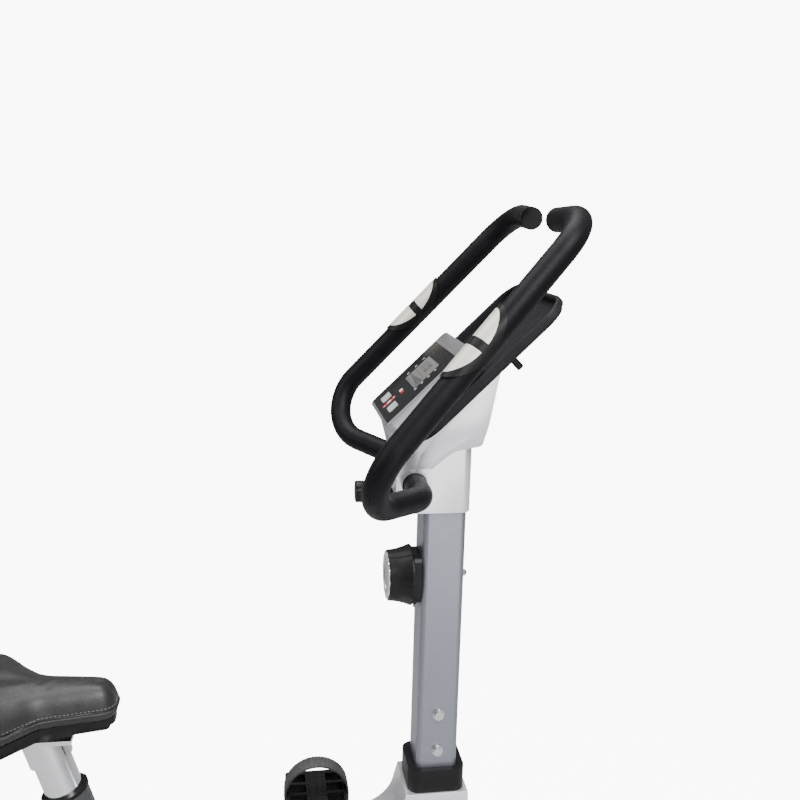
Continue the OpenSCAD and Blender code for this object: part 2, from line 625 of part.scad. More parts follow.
cover_points = [[cover_back + 8, cover_foot], [cover_front - 6, cover_foot], [cover_front, fly_z],
    [mast_x + shoe_r, fly_z + 122], [mast_x + 48, cover_top - 70], [mast_x + 44, cover_top],
    [mast_x - 44, cover_top], [mast_x - 62, cover_top - 70], [crank_x + 60, crank_z + pulley_r + 22],
    [crank_x - 72, crank_z + pulley_r + 24], [cover_back, crank_z + 50]];
cover_radii = [36, 60, 100, 60, 30, 0, 0, 60, 60, 70, 70];
cover_bend_z = crank_z + 40;
neck_bend_z = cover_top - 30;
cover_neck_half = 42;
screw_sink = 5;
// Half the width of the covers at a height
function cover_y(z) = z < cover_bend_z ? cover_half
    : cover_half - (cover_half - cover_neck_half) * (z - cover_bend_z) / (neck_bend_z - cover_bend_z);
module cover_body(inset) intersection() {
    along_y(-cover_half + inset, cover_half - inset) offset(delta = -inset)
        polygon(rounded(cover_points, cover_radii));
    along_x(-600, 600) offset(delta = -inset) polygon(rounded(
        [[-cover_half, 0], [cover_half, 0], [cover_half, cover_bend_z], [cover_neck_half, neck_bend_z],
         [cover_neck_half, cover_top + 20], [-cover_neck_half, cover_top + 20],
         [-cover_neck_half, neck_bend_z], [-cover_half, cover_bend_z]],
        [0, 0, 120, 40, 0, 0, 40, 120]));
}
cover_screw_at = [[crank_x - 30, cover_foot + 40], [cover_front - 34, cover_foot + 46],
    [crank_x, crank_z] + (pulley_r + 18) * [cos(130), sin(130)], [crank_x + 108, crank_z + 96],
    [mast_x + shoe_r - 40, fly_z + 165], [crank_x + 110, cover_foot + 24]];
module cover_shell() difference() {
    union() {
        difference() {
            cover_body(0);
            cover_body(cover_wall);
        }
        intersection() {
            cover_body(1);
            for (p = cover_screw_at) rod_y(p.x, p.y, 7, -cover_half, cover_half);
        }
    }
    for (p = cover_screw_at) {
        rod_y(p.x, p.y, 2.2, -cover_half - past, 10);
        rod_y(p.x, p.y, 5.5, -cover_half - past, -cover_y(p.y) + screw_sink);
    }
    rod_y(crank_x, crank_z, axle_r + 15, -100, 100);
    on_seat() cylinder(r = seat_r + 0.4, h = seat_tube_len);
    translate([mast_x, 0, cover_top - 60]) linear_extrude(80) polygon(box_points(mast_d + 4, mast_w + 4, mast_r + 2));
    translate([rear_x, -35, cover_foot - past]) cube([base_length, 70, cover_wall + 3]);
}
module cover_left() color("silver") intersection() {
    cover_shell();
    translate([-600, seam / 2, 0]) cube([1200, 200, 800]);
}
module cover_right() color("silver") intersection() {
    cover_shell();
    translate([-600, -200 - seam / 2, 0]) cube([1200, 200, 800]);
}
module cover_screws() color("dimgray") for (p = cover_screw_at) {
    rod_y(p.x, p.y, 2, -cover_y(p.y) + screw_sink - lap, 6);
    rod_y(p.x, p.y, 4.5, -cover_y(p.y) + 2, -cover_y(p.y) + screw_sink);
}

// ---- Mast ----

clamp_y = clamp_half;
// Welded on the mast: the fixed half of the handlebar clamp, and the plate that the tray is screwed to
module clamp_seat() difference() {
    translate([bar_x + seam / 2, -clamp_half, bar_z - clamp_under])
        cube([foot_gap - seam / 2 + tube_wall, 2 * clamp_half, clamp_over + clamp_under]);
    rod_y(bar_x, bar_z, bar_r + run_gap, -100, 100);
    rod_x(0, bar_z - clamp_bolt_drop, bolt_r + run_gap, bar_x - 50, bar_x + 50);
}
plate_low = slope_point(-60, tray_floor - seam);
plate_high = slope_point(34, tray_floor - seam);
module tray_plate() {
    both_sides() along_y(16, 20) polygon([[mast_x - mast_d / 2, mast_top], [mast_x + mast_d / 2, mast_top],
        plate_high + [3, -3], slope_point(-48, tray_floor - seam - 3)]);
    on_slope() slab(-60, 34, 34, 8, tray_floor - seam - 4, tray_floor - seam);
}
module mast() color("slategray") difference() {
    union() {
        translate([mast_x, 0, mast_foot]) linear_extrude(mast_top - mast_foot)
            polygon(box_points(mast_d, mast_w, mast_r));
        clamp_seat();
        tray_plate();
    }
    translate([mast_x, 0, mast_foot - past]) linear_extrude(mast_top - mast_foot - 2)
        polygon(box_points(mast_d - 2 * tube_wall, mast_w - 2 * tube_wall, mast_r - tube_wall));
    rod_x(0, bar_z - clamp_bolt_drop, bolt_r + run_gap, bar_x - 50, mast_x);
    rod_x(0, knob_z, 20.2, knob_axis_x - past, mast_x);
    rod_x(0, knob_z, 3.1, mast_x, mast_x + mast_d);
    for (z = mast_bolt_z) rod_y(mast_x, z, bolt_r + 0.1, -mast_w, mast_w);
    on_slope() for (y = [-26, 26], u = [-50, 24]) translate([u, y, tray_floor - 8]) cylinder(r = 2.6, h = 12);
}
module mast_boot() color("black") difference() {
    translate([mast_x, 0, cover_top]) linear_extrude(34) polygon(box_points(mast_d + 22, mast_w + 18, mast_r + 8));
    translate([mast_x, 0, cover_top - past]) linear_extrude(40) polygon(box_points(mast_d + 1, mast_w + 1, mast_r));
}

// The tension unit: a round body in the mast, a bezel on its face, and a knob on a shaft
bezel_t = 10;
knob_len = 33;
module tension_housing() color("black") difference() {
    union() {
        translate([0, 0, knob_z]) along_x(knob_axis_x - bezel_t, knob_axis_x) polygon(box_points(54, 68, 12));
        rod_x(0, knob_z, 20, knob_axis_x - 1, knob_axis_x + 34);
        translate([0, 0, knob_z - 38]) along_x(knob_axis_x - 6, knob_axis_x - 2) polygon(box_points(10, 10, 3));
    }
    rod_x(0, knob_z, knob_shaft_r + run_gap, knob_axis_x - bezel_t - past, knob_axis_x + 20);
}
module tension_knob() color("black")
    translate([knob_axis_x - bezel_t - 1, 0, knob_z]) rotate([0, -90, 0]) difference() {
        union() {
            translate([0, 0, -24]) cylinder(r = knob_shaft_r, h = 26);
            cylinder(r = knob_r - 1, h = 4);
            translate([0, 0, 3]) cylinder(r1 = knob_r, r2 = knob_r - 7, h = knob_len - 5);
            translate([0, 0, knob_len - 2.1]) cylinder(r = knob_r - 7, h = 2.1);
        }
        for (k = [0:11]) rotate([0, 0, k * 30]) translate([knob_r + 4, 0, -past]) cylinder(r = 6.5, h = knob_len + 5);
        translate([0, 0, knob_len - 2.5]) cylinder(r = knob_r - 12, h = 5);
    }
module knob_face() color("silver") translate([knob_axis_x - bezel_t - knob_len + 1.5, 0, knob_z])
    rotate([0, -90, 0]) cylinder(r = knob_r - 12.1, h = 2.2);

// ---- Handlebar ----

end_in = 58;
right_pts = [[0, 99, 0], [-98, bar_w / 2 - 6, 20], [-58, bar_w / 2, 88],
             [bar_reach, bar_w / 2 - 61, bar_rise], [bar_reach - 5, end_in, bar_rise - 5]];
bend_radii = [57, 61, 44, 59, 0];
bar_origin = [bar_x, 0, bar_z];
side_pts = [for (p = right_pts) p + bar_origin];
bar_pts = concat([for (i = [4:-1:0]) mirror_y(side_pts[i])], side_pts);
bar_bends = concat([for (i = [4:-1:0]) bend_radii[i]], bend_radii);
foam_pts = concat([bar_origin + [0, foam_from, 0]], side_pts);
foam_bends = concat([0], bend_radii);
bar_end = unit(side_pts[4] - side_pts[3]);
module handlebar() color("dimgray") difference() {
    bent_bar(bar_pts, bar_bends, bar_r);
    bent_bar(bar_pts, bar_bends, bar_r - bar_wall, past);
}
module foam_grips() color("black") both_sides() difference() {
    bent_bar(foam_pts, foam_bends, foam_r);
    bent_bar(foam_pts, foam_bends, bar_r + 0.05, past);
}
module bar_plugs() color("black") both_sides() {
    straight(side_pts[4], side_pts[4] + 2.5 * bar_end, foam_r);
    straight(side_pts[4] + 2.4 * bar_end, side_pts[4] + 4 * bar_end, foam_r - 1.5);
    straight(side_pts[4] - 18 * bar_end, side_pts[4] + lap * bar_end, bar_r - bar_wall - 0.05);
}

// The pulse sensors wrap the rider's side of the straight stretch of each grip. Their frame has
// z along the grip and x out of it towards the rider.
grip_dir = unit(side_pts[3] - side_pts[2]);
grip_out = unit(cross(grip_dir, [0, 1, 0]));
grip_side = cross(grip_dir, grip_out);
sensor_at = side_pts[2] + 153 * grip_dir;
sensor_r = foam_r + 1.9;
shell_len = 104;
plate_len = 87;
module on_grip() multmatrix([[grip_out.x, grip_side.x, grip_dir.x, sensor_at.x],
    [grip_out.y, grip_side.y, grip_dir.y, sensor_at.y],
    [grip_out.z, grip_side.z, grip_dir.z, sensor_at.z], [0, 0, 0, 1]]) children();
// A round cutter across the grip that reaches down to x = low, and is as long as asked at the top
module lens(low, len) {
    rise = foam_r - low;
    r = (len * len / 4 + rise * rise) / (2 * rise);
    translate([low + r, 0, 0]) rotate([90, 0, 0]) cylinder(r = r, h = 80, center = true, $fn = 96);
}
module grip_sleeve(ro, ri) difference() {
    cylinder(r = ro, h = 140, center = true);
    cylinder(r = ri, h = 142, center = true);
}
module plate_shape(ri, ro, gap) difference() {
    intersection() {
        grip_sleeve(ro, ri);
        lens(2.6 - gap, plate_len + 2 * gap);
    }
    cube([80, 80, 12 - 2 * gap], center = true);
}
module pulse_shells() color("black") both_sides() on_grip() difference() {
    intersection() {
        grip_sleeve(sensor_r, foam_r + 0.1);
        lens(-9.2, shell_len);
    }
    plate_shape(foam_r + 0.8, sensor_r + 5, 0.2);
}
module pulse_plates() color("ivory") both_sides() on_grip() plate_shape(foam_r + 0.8, sensor_r + 0.3, 0);

module bar_clamp() color("dimgray") difference() {
    along_y(-clamp_half, clamp_half) polygon(rounded(
        [[bar_x - seam / 2, bar_z - clamp_under], [bar_x - clamp_t + 8, bar_z - clamp_under],
         [bar_x - clamp_t, bar_z - clamp_under + 12], [bar_x - clamp_t, bar_z + clamp_over],
         [bar_x - seam / 2, bar_z + clamp_over]], [0, 3, 6, 12, 0]));
    rod_y(bar_x, bar_z, bar_r + run_gap, -100, 100);
    rod_x(0, bar_z - clamp_bolt_drop, bolt_r + 0.4, bar_x - 50, bar_x + 50);
}
module clamp_knob() color("black") translate([bar_x, 0, bar_z - clamp_bolt_drop]) rotate([0, -90, 0]) {
    translate([0, 0, -foot_gap - 8]) cylinder(r = bolt_r, h = foot_gap + 72);
    translate([0, 0, 56]) cylinder(r = 8, h = 6);
    translate([0, 0, 61]) lobed_head(14.6, 12, 6, 2.5);
}

// ---- Neck covers around the head of the mast ----

neck_half = 44;
neck_flare = 66;
sleeve_half = mast_w / 2 + 7;
sleeve_front = mast_x + mast_d / 2 + 3.5;
function neck_pt(x, z) = [bar_x + x, bar_z + z];
tray_under = tray_floor - seam;
upper_points = [slope_point(face_len * 0.39, tray_under), slope_point(tray_low - 2, tray_under),
    slope_point(tray_low - 2, -case_t - seam), slope_point(-face_len - 4, -case_t - seam),
    neck_pt(-25, 34), neck_pt(-25, -14), neck_pt(-20, -27), neck_pt(12, -27), neck_pt(22, -6),
    neck_pt(22, 22), neck_pt(48, 47), neck_pt(84, 54)];
upper_radii = [0, 0, 0, 3, 30, 8, 6, 8, 14, 12, 26, 6];
sleeve_points = [neck_pt(-18, 24), neck_pt(-21, -12), neck_pt(-13, -41), [sleeve_front, bar_z - 41],
    [sleeve_front, bar_z + 60], neck_pt(0, 60)];
sleeve_radii = [0, 10, 4, 3, 0, 0];
module neck_solid(inset) {
    intersection() {
        along_y(-80, 80) offset(delta = -inset) polygon(rounded(sleeve_points, sleeve_radii));
        linear_extrude(2000) offset(delta = -inset) polygon(rounded(
            [[bar_x - 30, -sleeve_half], [sleeve_front, -sleeve_half], [sleeve_front, sleeve_half],
             [bar_x - 30, sleeve_half]], [14, 12, 12, 14]));
    }
    intersection() {
        along_y(-80, 80) offset(delta = -inset) polygon(rounded(upper_points, upper_radii));
        along_x(-100, 500) offset(delta = -inset) polygon(
            [[-neck_half, bar_z - 60], [neck_half, bar_z - 60], [neck_half, bar_z + 22],
             [neck_flare, bar_z + 84], [neck_flare, bar_z + 250], [-neck_flare, bar_z + 250],
             [-neck_flare, bar_z + 84], [-neck_half, bar_z + 22]]);
    }
}
// The seam between the two covers, which runs through the cross tube's holes
seam_points = [neck_pt(-200, -200), neck_pt(12, -200), neck_pt(10, -41), neck_pt(0, 0), neck_pt(0, 20),
    neck_pt(5, 42), neck_pt(17, 61), neck_pt(42, 92), neck_pt(60, 112), neck_pt(60, 300), neck_pt(-200, 300)];
module neck_shell() difference() {
    neck_solid(0);
    neck_solid(cover_wall);
    translate([mast_x, 0, bar_z - 60]) linear_extrude(80)
        polygon(box_points(mast_d + 1, mast_w + 1, mast_r));
    translate([bar_x - 1, -sleeve_half + cover_wall, bar_z - 60]) cube([mast_d, 2 * (sleeve_half - cover_wall), 40]);
    rod_y(bar_x, bar_z, foam_r + 1, -100, 100);
    rod_x(0, bar_z - clamp_bolt_drop, 7, bar_x - 40, bar_x);
    on_slope() translate([tray_low, -60, tray_under - cover_wall - past]) cube([200, 120, 40]);
}
module neck_front() color("lightgray") difference() {
    neck_shell();
    along_y(-100, 100) offset(delta = seam) polygon(seam_points);
}
module neck_rear() color("lightgray") intersection() {
    neck_shell();
    along_y(-100, 100) polygon(seam_points);
}

// ---- Tray and console ----

module console_tray() color("dimgray") on_slope() difference() {
    union() {
        slab(tray_low, tray_over, tray_w / 2, 36, tray_floor + 5, tray_rim);
        slab(tray_low + 5, tray_over - 5, tray_w / 2 - 5, 32, tray_floor, tray_floor + 5.5);
    }
    slab(tray_low + 6, tray_over - 6, tray_w / 2 - 6, 31, tray_floor + 3, tray_rim + past);
    for (y = [-26, 26], u = [-50, 24]) translate([u, y, tray_floor - past]) cylinder(r = 2.6, h = 8);
    translate([peg_u, 0, tray_floor - past]) cylinder(r = 2.5, h = 8);
}
module tray_peg() color("black") on_slope() {
    translate([peg_u, 0, tray_floor - 49]) cylinder(r = 5, h = 49);
    translate([peg_u, 0, tray_floor - lap]) cylinder(r = 2.5, h = lap + 3);
    translate([peg_u, 0, tray_floor + 3]) cylinder(r = 4.5, h = 1.5);
}
case_half = face_w / 2 + case_margin;
module console_case() color("silver") on_slope() difference() {
    slab(-face_len - case_margin, 20, case_half, 9, -case_t, 0);
    slab(-face_len - case_margin + 3, 17, case_half - 3, 6, -case_t - past, -3);
    slab(-face_len - 0.2, 0.2, face_w / 2 + 0.2, 3, -1, past);
    slab(lcd_from - 0.2, lcd_from + lcd_len + 0.2, lcd_w / 2 + 0.2, 1, -case_t, past);
    for (y = [-button_y, button_y])
        translate([button_u - button_len / 2 - 0.4, y - button_w / 2 - 0.4, -case_t]) cube([button_len + 0.8, button_w + 0.8, 20]);
}
module console_back() color("black") on_slope() difference() {
    slab(tray_low + back_in, 16, case_half - 5, 7, -case_t - back_t + seam, -case_t + 3);
    slab(tray_low + back_in + 2.5, 13.5, case_half - 7.5, 5, -case_t - back_t + 3, -case_t + 4);
}
module console_face() color("black") on_slope() difference() {
    slab(-face_len, 0, face_w / 2, 3, -1, 0.2);
    slab(lcd_from - 0.2, lcd_from + lcd_len + 0.2, lcd_w / 2 + 0.2, 1, -3, past);
    for (y = [-button_y, button_y])
        translate([button_u - button_len / 2 - 0.4, y - button_w / 2 - 0.4, -3]) cube([button_len + 0.8, button_w + 0.8, 6]);
}
module lcd_window() color("gainsboro") on_slope() slab(lcd_from, lcd_from + lcd_len, lcd_w / 2, 1, -6, -0.4);
module console_button(y) on_slope() translate([button_u, y, -7]) linear_extrude(8.2)
    polygon(box_points(button_len, button_w, 2));
module button_left() color("lightgray") console_button(button_y);
module button_right() color("lightgray") console_button(-button_y);

front_stabiliser();
rear_stabiliser();
base_beam();
end_caps();
frame_bolts();
wheel_pins();
seat_tube();
seat_bush();
crank_shell();
frame_stays();
flywheel_fork();
bearings();
drive_belt();
brake_cable();
cover_left();
cover_right();
cover_screws();
mast();
mast_boot();
tension_housing();
bar_clamp();
neck_front();
neck_rear();
console_tray();
tray_peg();
console_case();
console_back();
console_face();
lcd_window();
button_left();
button_right();
wheel_left();
wheel_right();
crank_axle();
crank_pulley();
crank_arm_left();
crank_arm_right();
crank_nuts();
pedal_spindles();
pedal_left();
strap_left();
pedal_right();
strap_right();
flywheel();
flywheel_axle();
flywheel_pulley();
brake_bracket();
brake_magnets();
tension_knob();
knob_face();
clamp_knob();
handlebar();
foam_grips();
bar_plugs();
pulse_shells();
pulse_plates();
seat_post();
saddle_base();
saddle_cushion();
seat_knob();
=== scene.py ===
# %% [markdown]
# # An upright exercise bike, finished in Blender
# The bike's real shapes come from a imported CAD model: tubes, covers, wheels, knobs and everything that
# moves. This script loads that model as a fixed frame and works on its looks. It sets a camera, light and
# a floor, gives every surface a material, and makes the pieces that CAD leaves plain, such as the padded
# saddle, the rounded edges of the moulded covers and the print on the console.

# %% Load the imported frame
import bpy
import bmesh
import math
import numpy as np
from mathutils import Matrix, Vector
from mathutils.bvhtree import BVHTree


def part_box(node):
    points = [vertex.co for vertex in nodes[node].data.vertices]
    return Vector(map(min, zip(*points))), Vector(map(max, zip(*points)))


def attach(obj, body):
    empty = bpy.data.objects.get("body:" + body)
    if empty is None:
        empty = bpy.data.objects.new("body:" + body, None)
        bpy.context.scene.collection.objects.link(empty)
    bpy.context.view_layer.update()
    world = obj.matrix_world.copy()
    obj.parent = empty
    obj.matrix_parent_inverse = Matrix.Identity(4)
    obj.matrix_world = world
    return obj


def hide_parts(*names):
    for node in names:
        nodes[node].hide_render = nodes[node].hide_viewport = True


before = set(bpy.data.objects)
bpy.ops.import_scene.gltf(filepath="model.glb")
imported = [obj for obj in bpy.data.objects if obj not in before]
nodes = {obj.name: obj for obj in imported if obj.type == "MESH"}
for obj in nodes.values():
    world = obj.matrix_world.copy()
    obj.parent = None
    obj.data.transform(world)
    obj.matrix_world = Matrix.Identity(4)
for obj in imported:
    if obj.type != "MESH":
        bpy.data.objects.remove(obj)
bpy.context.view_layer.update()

# %% [markdown]
# ## Where things are
# A node's place is in its mesh, so its box says where it is. The console and the tray lie on one slope.
# Three directions describe that slope: up the slope, out of the face, and across. Working in them keeps
# the print on the console simple, because a mark is then just a place on a flat sheet.

# %% The console's sloping frame
SLOPE = math.radians(44.4)
UP_SLOPE = Vector((math.cos(SLOPE), 0, math.sin(SLOPE)))
OUT = Vector((-math.sin(SLOPE), 0, math.cos(SLOPE)))

def reach(node, direction):
    """How far a node reaches along a direction, as its lowest and highest value."""
    mesh = nodes[node].data
    places = [v.co.dot(direction) for v in mesh.vertices]
    return min(places), max(places)

face_low, face_high = reach("console_face", UP_SLOPE)
face_out = reach("console_face", OUT)[1]

def on_face(u, y, n=0.0):
    """A point u metres up the slope from the face's top edge, y metres to the left, n metres out."""
    return UP_SLOPE * (face_high + u) + OUT * (face_out + n) + Vector((0, y, 0))

print("console face is", round((face_high - face_low) * 1000), "mm long")

# %% [markdown]
# ## The camera
# The camera stands at the height of the console, to the rider's right and a little behind the handlebar.
# Three turns aim it: towards the front of the bike, down, and a small roll. The lens is slightly wide, and
# the handlebar is a little over a metre away.

# %% Aim the camera
CAMERA_PLACE = (-0.0382, -1.1927, 1.350)
CAMERA_TURNS = (9.17, 11.69, 1.49)
LENS_MM, SENSOR_MM = 42.22, 36

def aimed(turn, down, roll):
    """A camera's rotation: turned to the right of +Y, pitched down, and rolled, all in degrees."""
    t, d, r = (math.radians(a) for a in (turn, down, roll))
    ahead = Vector((math.sin(t) * math.cos(d), math.cos(t) * math.cos(d), -math.sin(d)))
    level = Vector((math.cos(t), -math.sin(t), 0))
    upward = level.cross(ahead)
    right = level * math.cos(r) + upward * math.sin(r)
    up = right.cross(ahead)
    return Matrix((right, up, -ahead)).transposed().to_quaternion()

camera = bpy.data.objects.new("camera", bpy.data.cameras.new("camera"))
bpy.context.scene.collection.objects.link(camera)
camera.rotation_mode = "QUATERNION"
camera.rotation_quaternion = aimed(*CAMERA_TURNS)
camera.location = CAMERA_PLACE
camera.data.lens = LENS_MM
camera.data.sensor_width = SENSOR_MM
camera.data.clip_end = 60
bpy.context.scene.camera = camera
print("camera at", [round(c, 3) for c in camera.location])

# %% [markdown]
# ## The studio
# The bike stands on a pale sweep: a floor that curves up into a wall, so there is no line behind it. Four
# soft lights, an overhead, a key, a low card and a rear one, leave long smooth highlights on the round
# grips, and the pale world around it fills the shadows. For the camera alone, the sweep and the world also
# glow, which makes the background white and adds no light to the bike. The sweep's glow fades close to a
# surface, which leaves a soft shadow where the bike stands.

# %% Floor, wall and lights
CAMERA_GLOW = 9.0
SHADOW_REACH, SHADOW_FALL = 0.30, 2.5

def new_object(name, mesh, *materials):
    """Links a mesh to the scene under a name, with its materials."""
    for m in materials:
        mesh.materials.append(m)
    o = bpy.data.objects.new(name, mesh)
    bpy.context.scene.collection.objects.link(o)
    return o

def sweep(width, front, back, radius, height):
    """A floor that runs from front to back, turns up through a quarter circle, and ends at a height."""
    line = [(front, 0.0), (back, 0.0)]
    line += [(back + radius * math.sin(a), radius * (1 - math.cos(a)))
             for a in np.linspace(0.1, math.pi / 2, 16)]
    line.append((back + radius, height))
    points = [(x, y, z) for y, z in line for x in (-width / 2, width / 2)]
    faces = [(2 * i, 2 * i + 1, 2 * i + 3, 2 * i + 2) for i in range(len(line) - 1)]
    mesh = bpy.data.meshes.new("sweep")
    mesh.from_pydata(points, [], faces)
    for p in mesh.polygons:
        p.use_smooth = True
    return mesh

def area_light(name, place, target, size, power, colour=(1, 1, 1)):
    """A square soft light at a place, aimed at a target."""
    data = bpy.data.lights.new(name, "AREA")
    data.size, data.energy, data.color = size, power, colour
    o = bpy.data.objects.new(name, data)
    o.location = place
    o.rotation_mode = "QUATERNION"
    o.rotation_quaternion = (Vector(target) - Vector(place)).to_track_quat("-Z", "Y")
    bpy.context.scene.collection.objects.link(o)

paper = bpy.data.materials.new("pale_paper")
paper.use_nodes = True
paper_shader = paper.node_tree.nodes["Principled BSDF"]
paper_shader.inputs["Base Color"].default_value = (0.50, 0.50, 0.51, 1)
paper_shader.inputs["Roughness"].default_value = 0.9
paper_shader.inputs["Specular IOR Level"].default_value = 0.1
glow = paper.node_tree.nodes.new("ShaderNodeMath")
glow.operation = "MULTIPLY"
glow.inputs[1].default_value = CAMERA_GLOW
seen = paper.node_tree.nodes.new("ShaderNodeLightPath").outputs["Is Camera Ray"]
near = paper.node_tree.nodes.new("ShaderNodeAmbientOcclusion")
near.samples = 8
near.inputs["Distance"].default_value = SHADOW_REACH
soft = paper.node_tree.nodes.new("ShaderNodeMath")
soft.operation = "POWER"
soft.inputs[1].default_value = SHADOW_FALL
open_sky = paper.node_tree.nodes.new("ShaderNodeMath")
open_sky.operation = "MULTIPLY"
paper.node_tree.links.new(near.outputs["AO"], soft.inputs[0])
paper.node_tree.links.new(seen, open_sky.inputs[0])
paper.node_tree.links.new(soft.outputs[0], open_sky.inputs[1])
paper.node_tree.links.new(open_sky.outputs[0], glow.inputs[0])
paper.node_tree.links.new(glow.outputs[0], paper_shader.inputs["Emission Strength"])
paper_shader.inputs["Emission Color"].default_value = (1, 1, 1, 1)
new_object("floor", sweep(24, -6, 4.5, 3, 9), paper)

world = bpy.data.worlds.new("studio")
bpy.context.scene.world = world
world.use_nodes = True
sky = world.node_tree.nodes["Background"]
sky.inputs["Color"].default_value = (1, 1, 1, 1)
look = world.node_tree.nodes.new("ShaderNodeTexCoord").outputs["Generated"]
apart = world.node_tree.nodes.new("ShaderNodeSeparateXYZ")
fade = world.node_tree.nodes.new("ShaderNodeMapRange")
world.node_tree.links.new(look, apart.inputs[0])
world.node_tree.links.new(apart.outputs["Z"], fade.inputs["Value"])
for label, v in (("From Min", -0.3), ("From Max", 1.0), ("To Min", 0.10), ("To Max", 0.75)):
    fade.inputs[label].default_value = v
straight = world.node_tree.nodes.new("ShaderNodeLightPath").outputs["Is Camera Ray"]
backdrop = world.node_tree.nodes.new("ShaderNodeMath")
backdrop.operation = "MULTIPLY_ADD"
backdrop.inputs[1].default_value = CAMERA_GLOW
world.node_tree.links.new(straight, backdrop.inputs[0])
world.node_tree.links.new(fade.outputs["Result"], backdrop.inputs[2])
world.node_tree.links.new(backdrop.outputs[0], sky.inputs["Strength"])
area_light("overhead", (-0.2, 0.5, 3.4), (0.1, 0, 1.0), 2.2, 90)
area_light("key", (0.9, -1.9, 2.9), (0.2, 0, 1.0), 1.3, 120)
area_light("card", (0.75, -2.5, 0.6), (0.2, 0, 1.0), 1.4, 20)
area_light("rear", (-2.4, -0.4, 2.2), (0.2, 0, 1.1), 1.2, 22)

# %% [markdown]
# ## Shared surface effects
# Four small node groups serve many materials. Grain is the fine texture of foam, moulded plastic and
# vinyl. Flake is the sparkle in metallic paint. Drawn is the fine lines of brushed or turned metal. Soiling
# is the faint unevenness that handling leaves. Each group gives only values, and each material decides
# what to do with them.

# %% Build the node groups
def new_group(name, inputs, outputs):
    """A shader node group with float inputs and outputs, and its group nodes."""
    g = bpy.data.node_groups.new(name, "ShaderNodeTree")
    for label, value in inputs.items():
        g.interface.new_socket(label, in_out="INPUT", socket_type="NodeSocketFloat").default_value = value
    for label in outputs:
        g.interface.new_socket(label, in_out="OUTPUT", socket_type="NodeSocketFloat")
    return g, g.nodes.new("NodeGroupInput"), g.nodes.new("NodeGroupOutput")

def add(tree, kind, **settings):
    """A node with its properties set."""
    n = tree.nodes.new(kind)
    for k, v in settings.items():
        setattr(n, k, v)
    return n

def noise(tree, vector, scale, detail=2.0, rough=0.5):
    """A noise texture on a vector. Scale may be a number or a socket."""
    n = add(tree, "ShaderNodeTexNoise")
    tree.links.new(vector, n.inputs["Vector"])
    n.inputs["Detail"].default_value = detail
    n.inputs["Roughness"].default_value = rough
    if isinstance(scale, (int, float)):
        n.inputs["Scale"].default_value = scale
    else:
        tree.links.new(scale, n.inputs["Scale"])
    return n.outputs["Fac"]

def remap(tree, value, low, high, to_low=0.0, to_high=1.0):
    """A value moved from one range to another."""
    n = add(tree, "ShaderNodeMapRange")
    tree.links.new(value, n.inputs["Value"])
    for label, v in (("From Min", low), ("From Max", high), ("To Min", to_low), ("To Max", to_high)):
        n.inputs[label].default_value = v
    return n.outputs["Result"]

def maths(tree, kind, a, b):
    """A two-input maths node. Either input may be a number or a socket."""
    n = add(tree, "ShaderNodeMath", operation=kind)
    for i, v in enumerate((a, b)):
        if isinstance(v, (int, float)):
            n.inputs[i].default_value = v
        else:
            tree.links.new(v, n.inputs[i])
    return n.outputs[0]

grain, g_in, g_out = new_group("grain", {"Scale": 900.0}, ["Height", "Mottle"])
where = add(grain, "ShaderNodeTexCoord").outputs["Object"]
fine = noise(grain, where, g_in.outputs["Scale"], 3.0, 0.6)
grain.links.new(fine, g_out.inputs["Height"])
grain.links.new(remap(grain, noise(grain, where, 38.0, 3.0), 0.3, 0.7), g_out.inputs["Mottle"])

flake, f_in, f_out = new_group("flake", {"Scale": 1400.0}, ["Sparkle", "Height"])
where = add(flake, "ShaderNodeTexCoord").outputs["Object"]
cells = add(flake, "ShaderNodeTexVoronoi")
flake.links.new(where, cells.inputs["Vector"])
flake.links.new(f_in.outputs["Scale"], cells.inputs["Scale"])
split = add(flake, "ShaderNodeSeparateColor")
flake.links.new(cells.outputs["Color"], split.inputs["Color"])
flake.links.new(split.outputs["Red"], f_out.inputs["Sparkle"])
flake.links.new(split.outputs["Green"], f_out.inputs["Height"])

drawn, d_in, d_out = new_group("drawn", {"Along X": 40.0, "Along Y": 40.0, "Along Z": 1200.0}, ["Line"])
where = add(drawn, "ShaderNodeTexCoord").outputs["Object"]
stretch = add(drawn, "ShaderNodeCombineXYZ")
for axis in "XYZ":
    drawn.links.new(d_in.outputs["Along " + axis], stretch.inputs[axis])
scaled = add(drawn, "ShaderNodeVectorMath", operation="MULTIPLY")
drawn.links.new(where, scaled.inputs[0])
drawn.links.new(stretch.outputs[0], scaled.inputs[1])
drawn.links.new(noise(drawn, scaled.outputs[0], 1.0, 3.0, 0.6), d_out.inputs["Line"])

soiling, s_in, s_out = new_group("soiling", {"Scale": 14.0}, ["Smudge", "Dust"])
where = add(soiling, "ShaderNodeTexCoord").outputs["Object"]
cloud = noise(soiling, where, s_in.outputs["Scale"], 4.0, 0.6)
soiling.links.new(remap(soiling, cloud, 0.42, 0.72), s_out.inputs["Smudge"])
facing = add(soiling, "ShaderNodeSeparateXYZ")
soiling.links.new(add(soiling, "ShaderNodeNewGeometry").outputs["Normal"], facing.inputs[0])
upward = remap(soiling, facing.outputs["Z"], 0.5, 1.0)
specks = remap(soiling, noise(soiling, where, 420.0, 2.0), 0.5, 0.8)
soiling.links.new(maths(soiling, "MULTIPLY", upward, specks), s_out.inputs["Dust"])
print("built", len([g for g in bpy.data.node_groups if g.bl_idname == "ShaderNodeTree"]), "shader groups")

# %% [markdown]
# ## The finishes
# One helper makes them all. It starts from a colour, a roughness and a metallic value, then adds what the
# real finish shows: the grain or flake as a shallow bump and a change of tone, smudges in the roughness
# and a little dust on what faces up.

# %% Make the materials
materials = {}

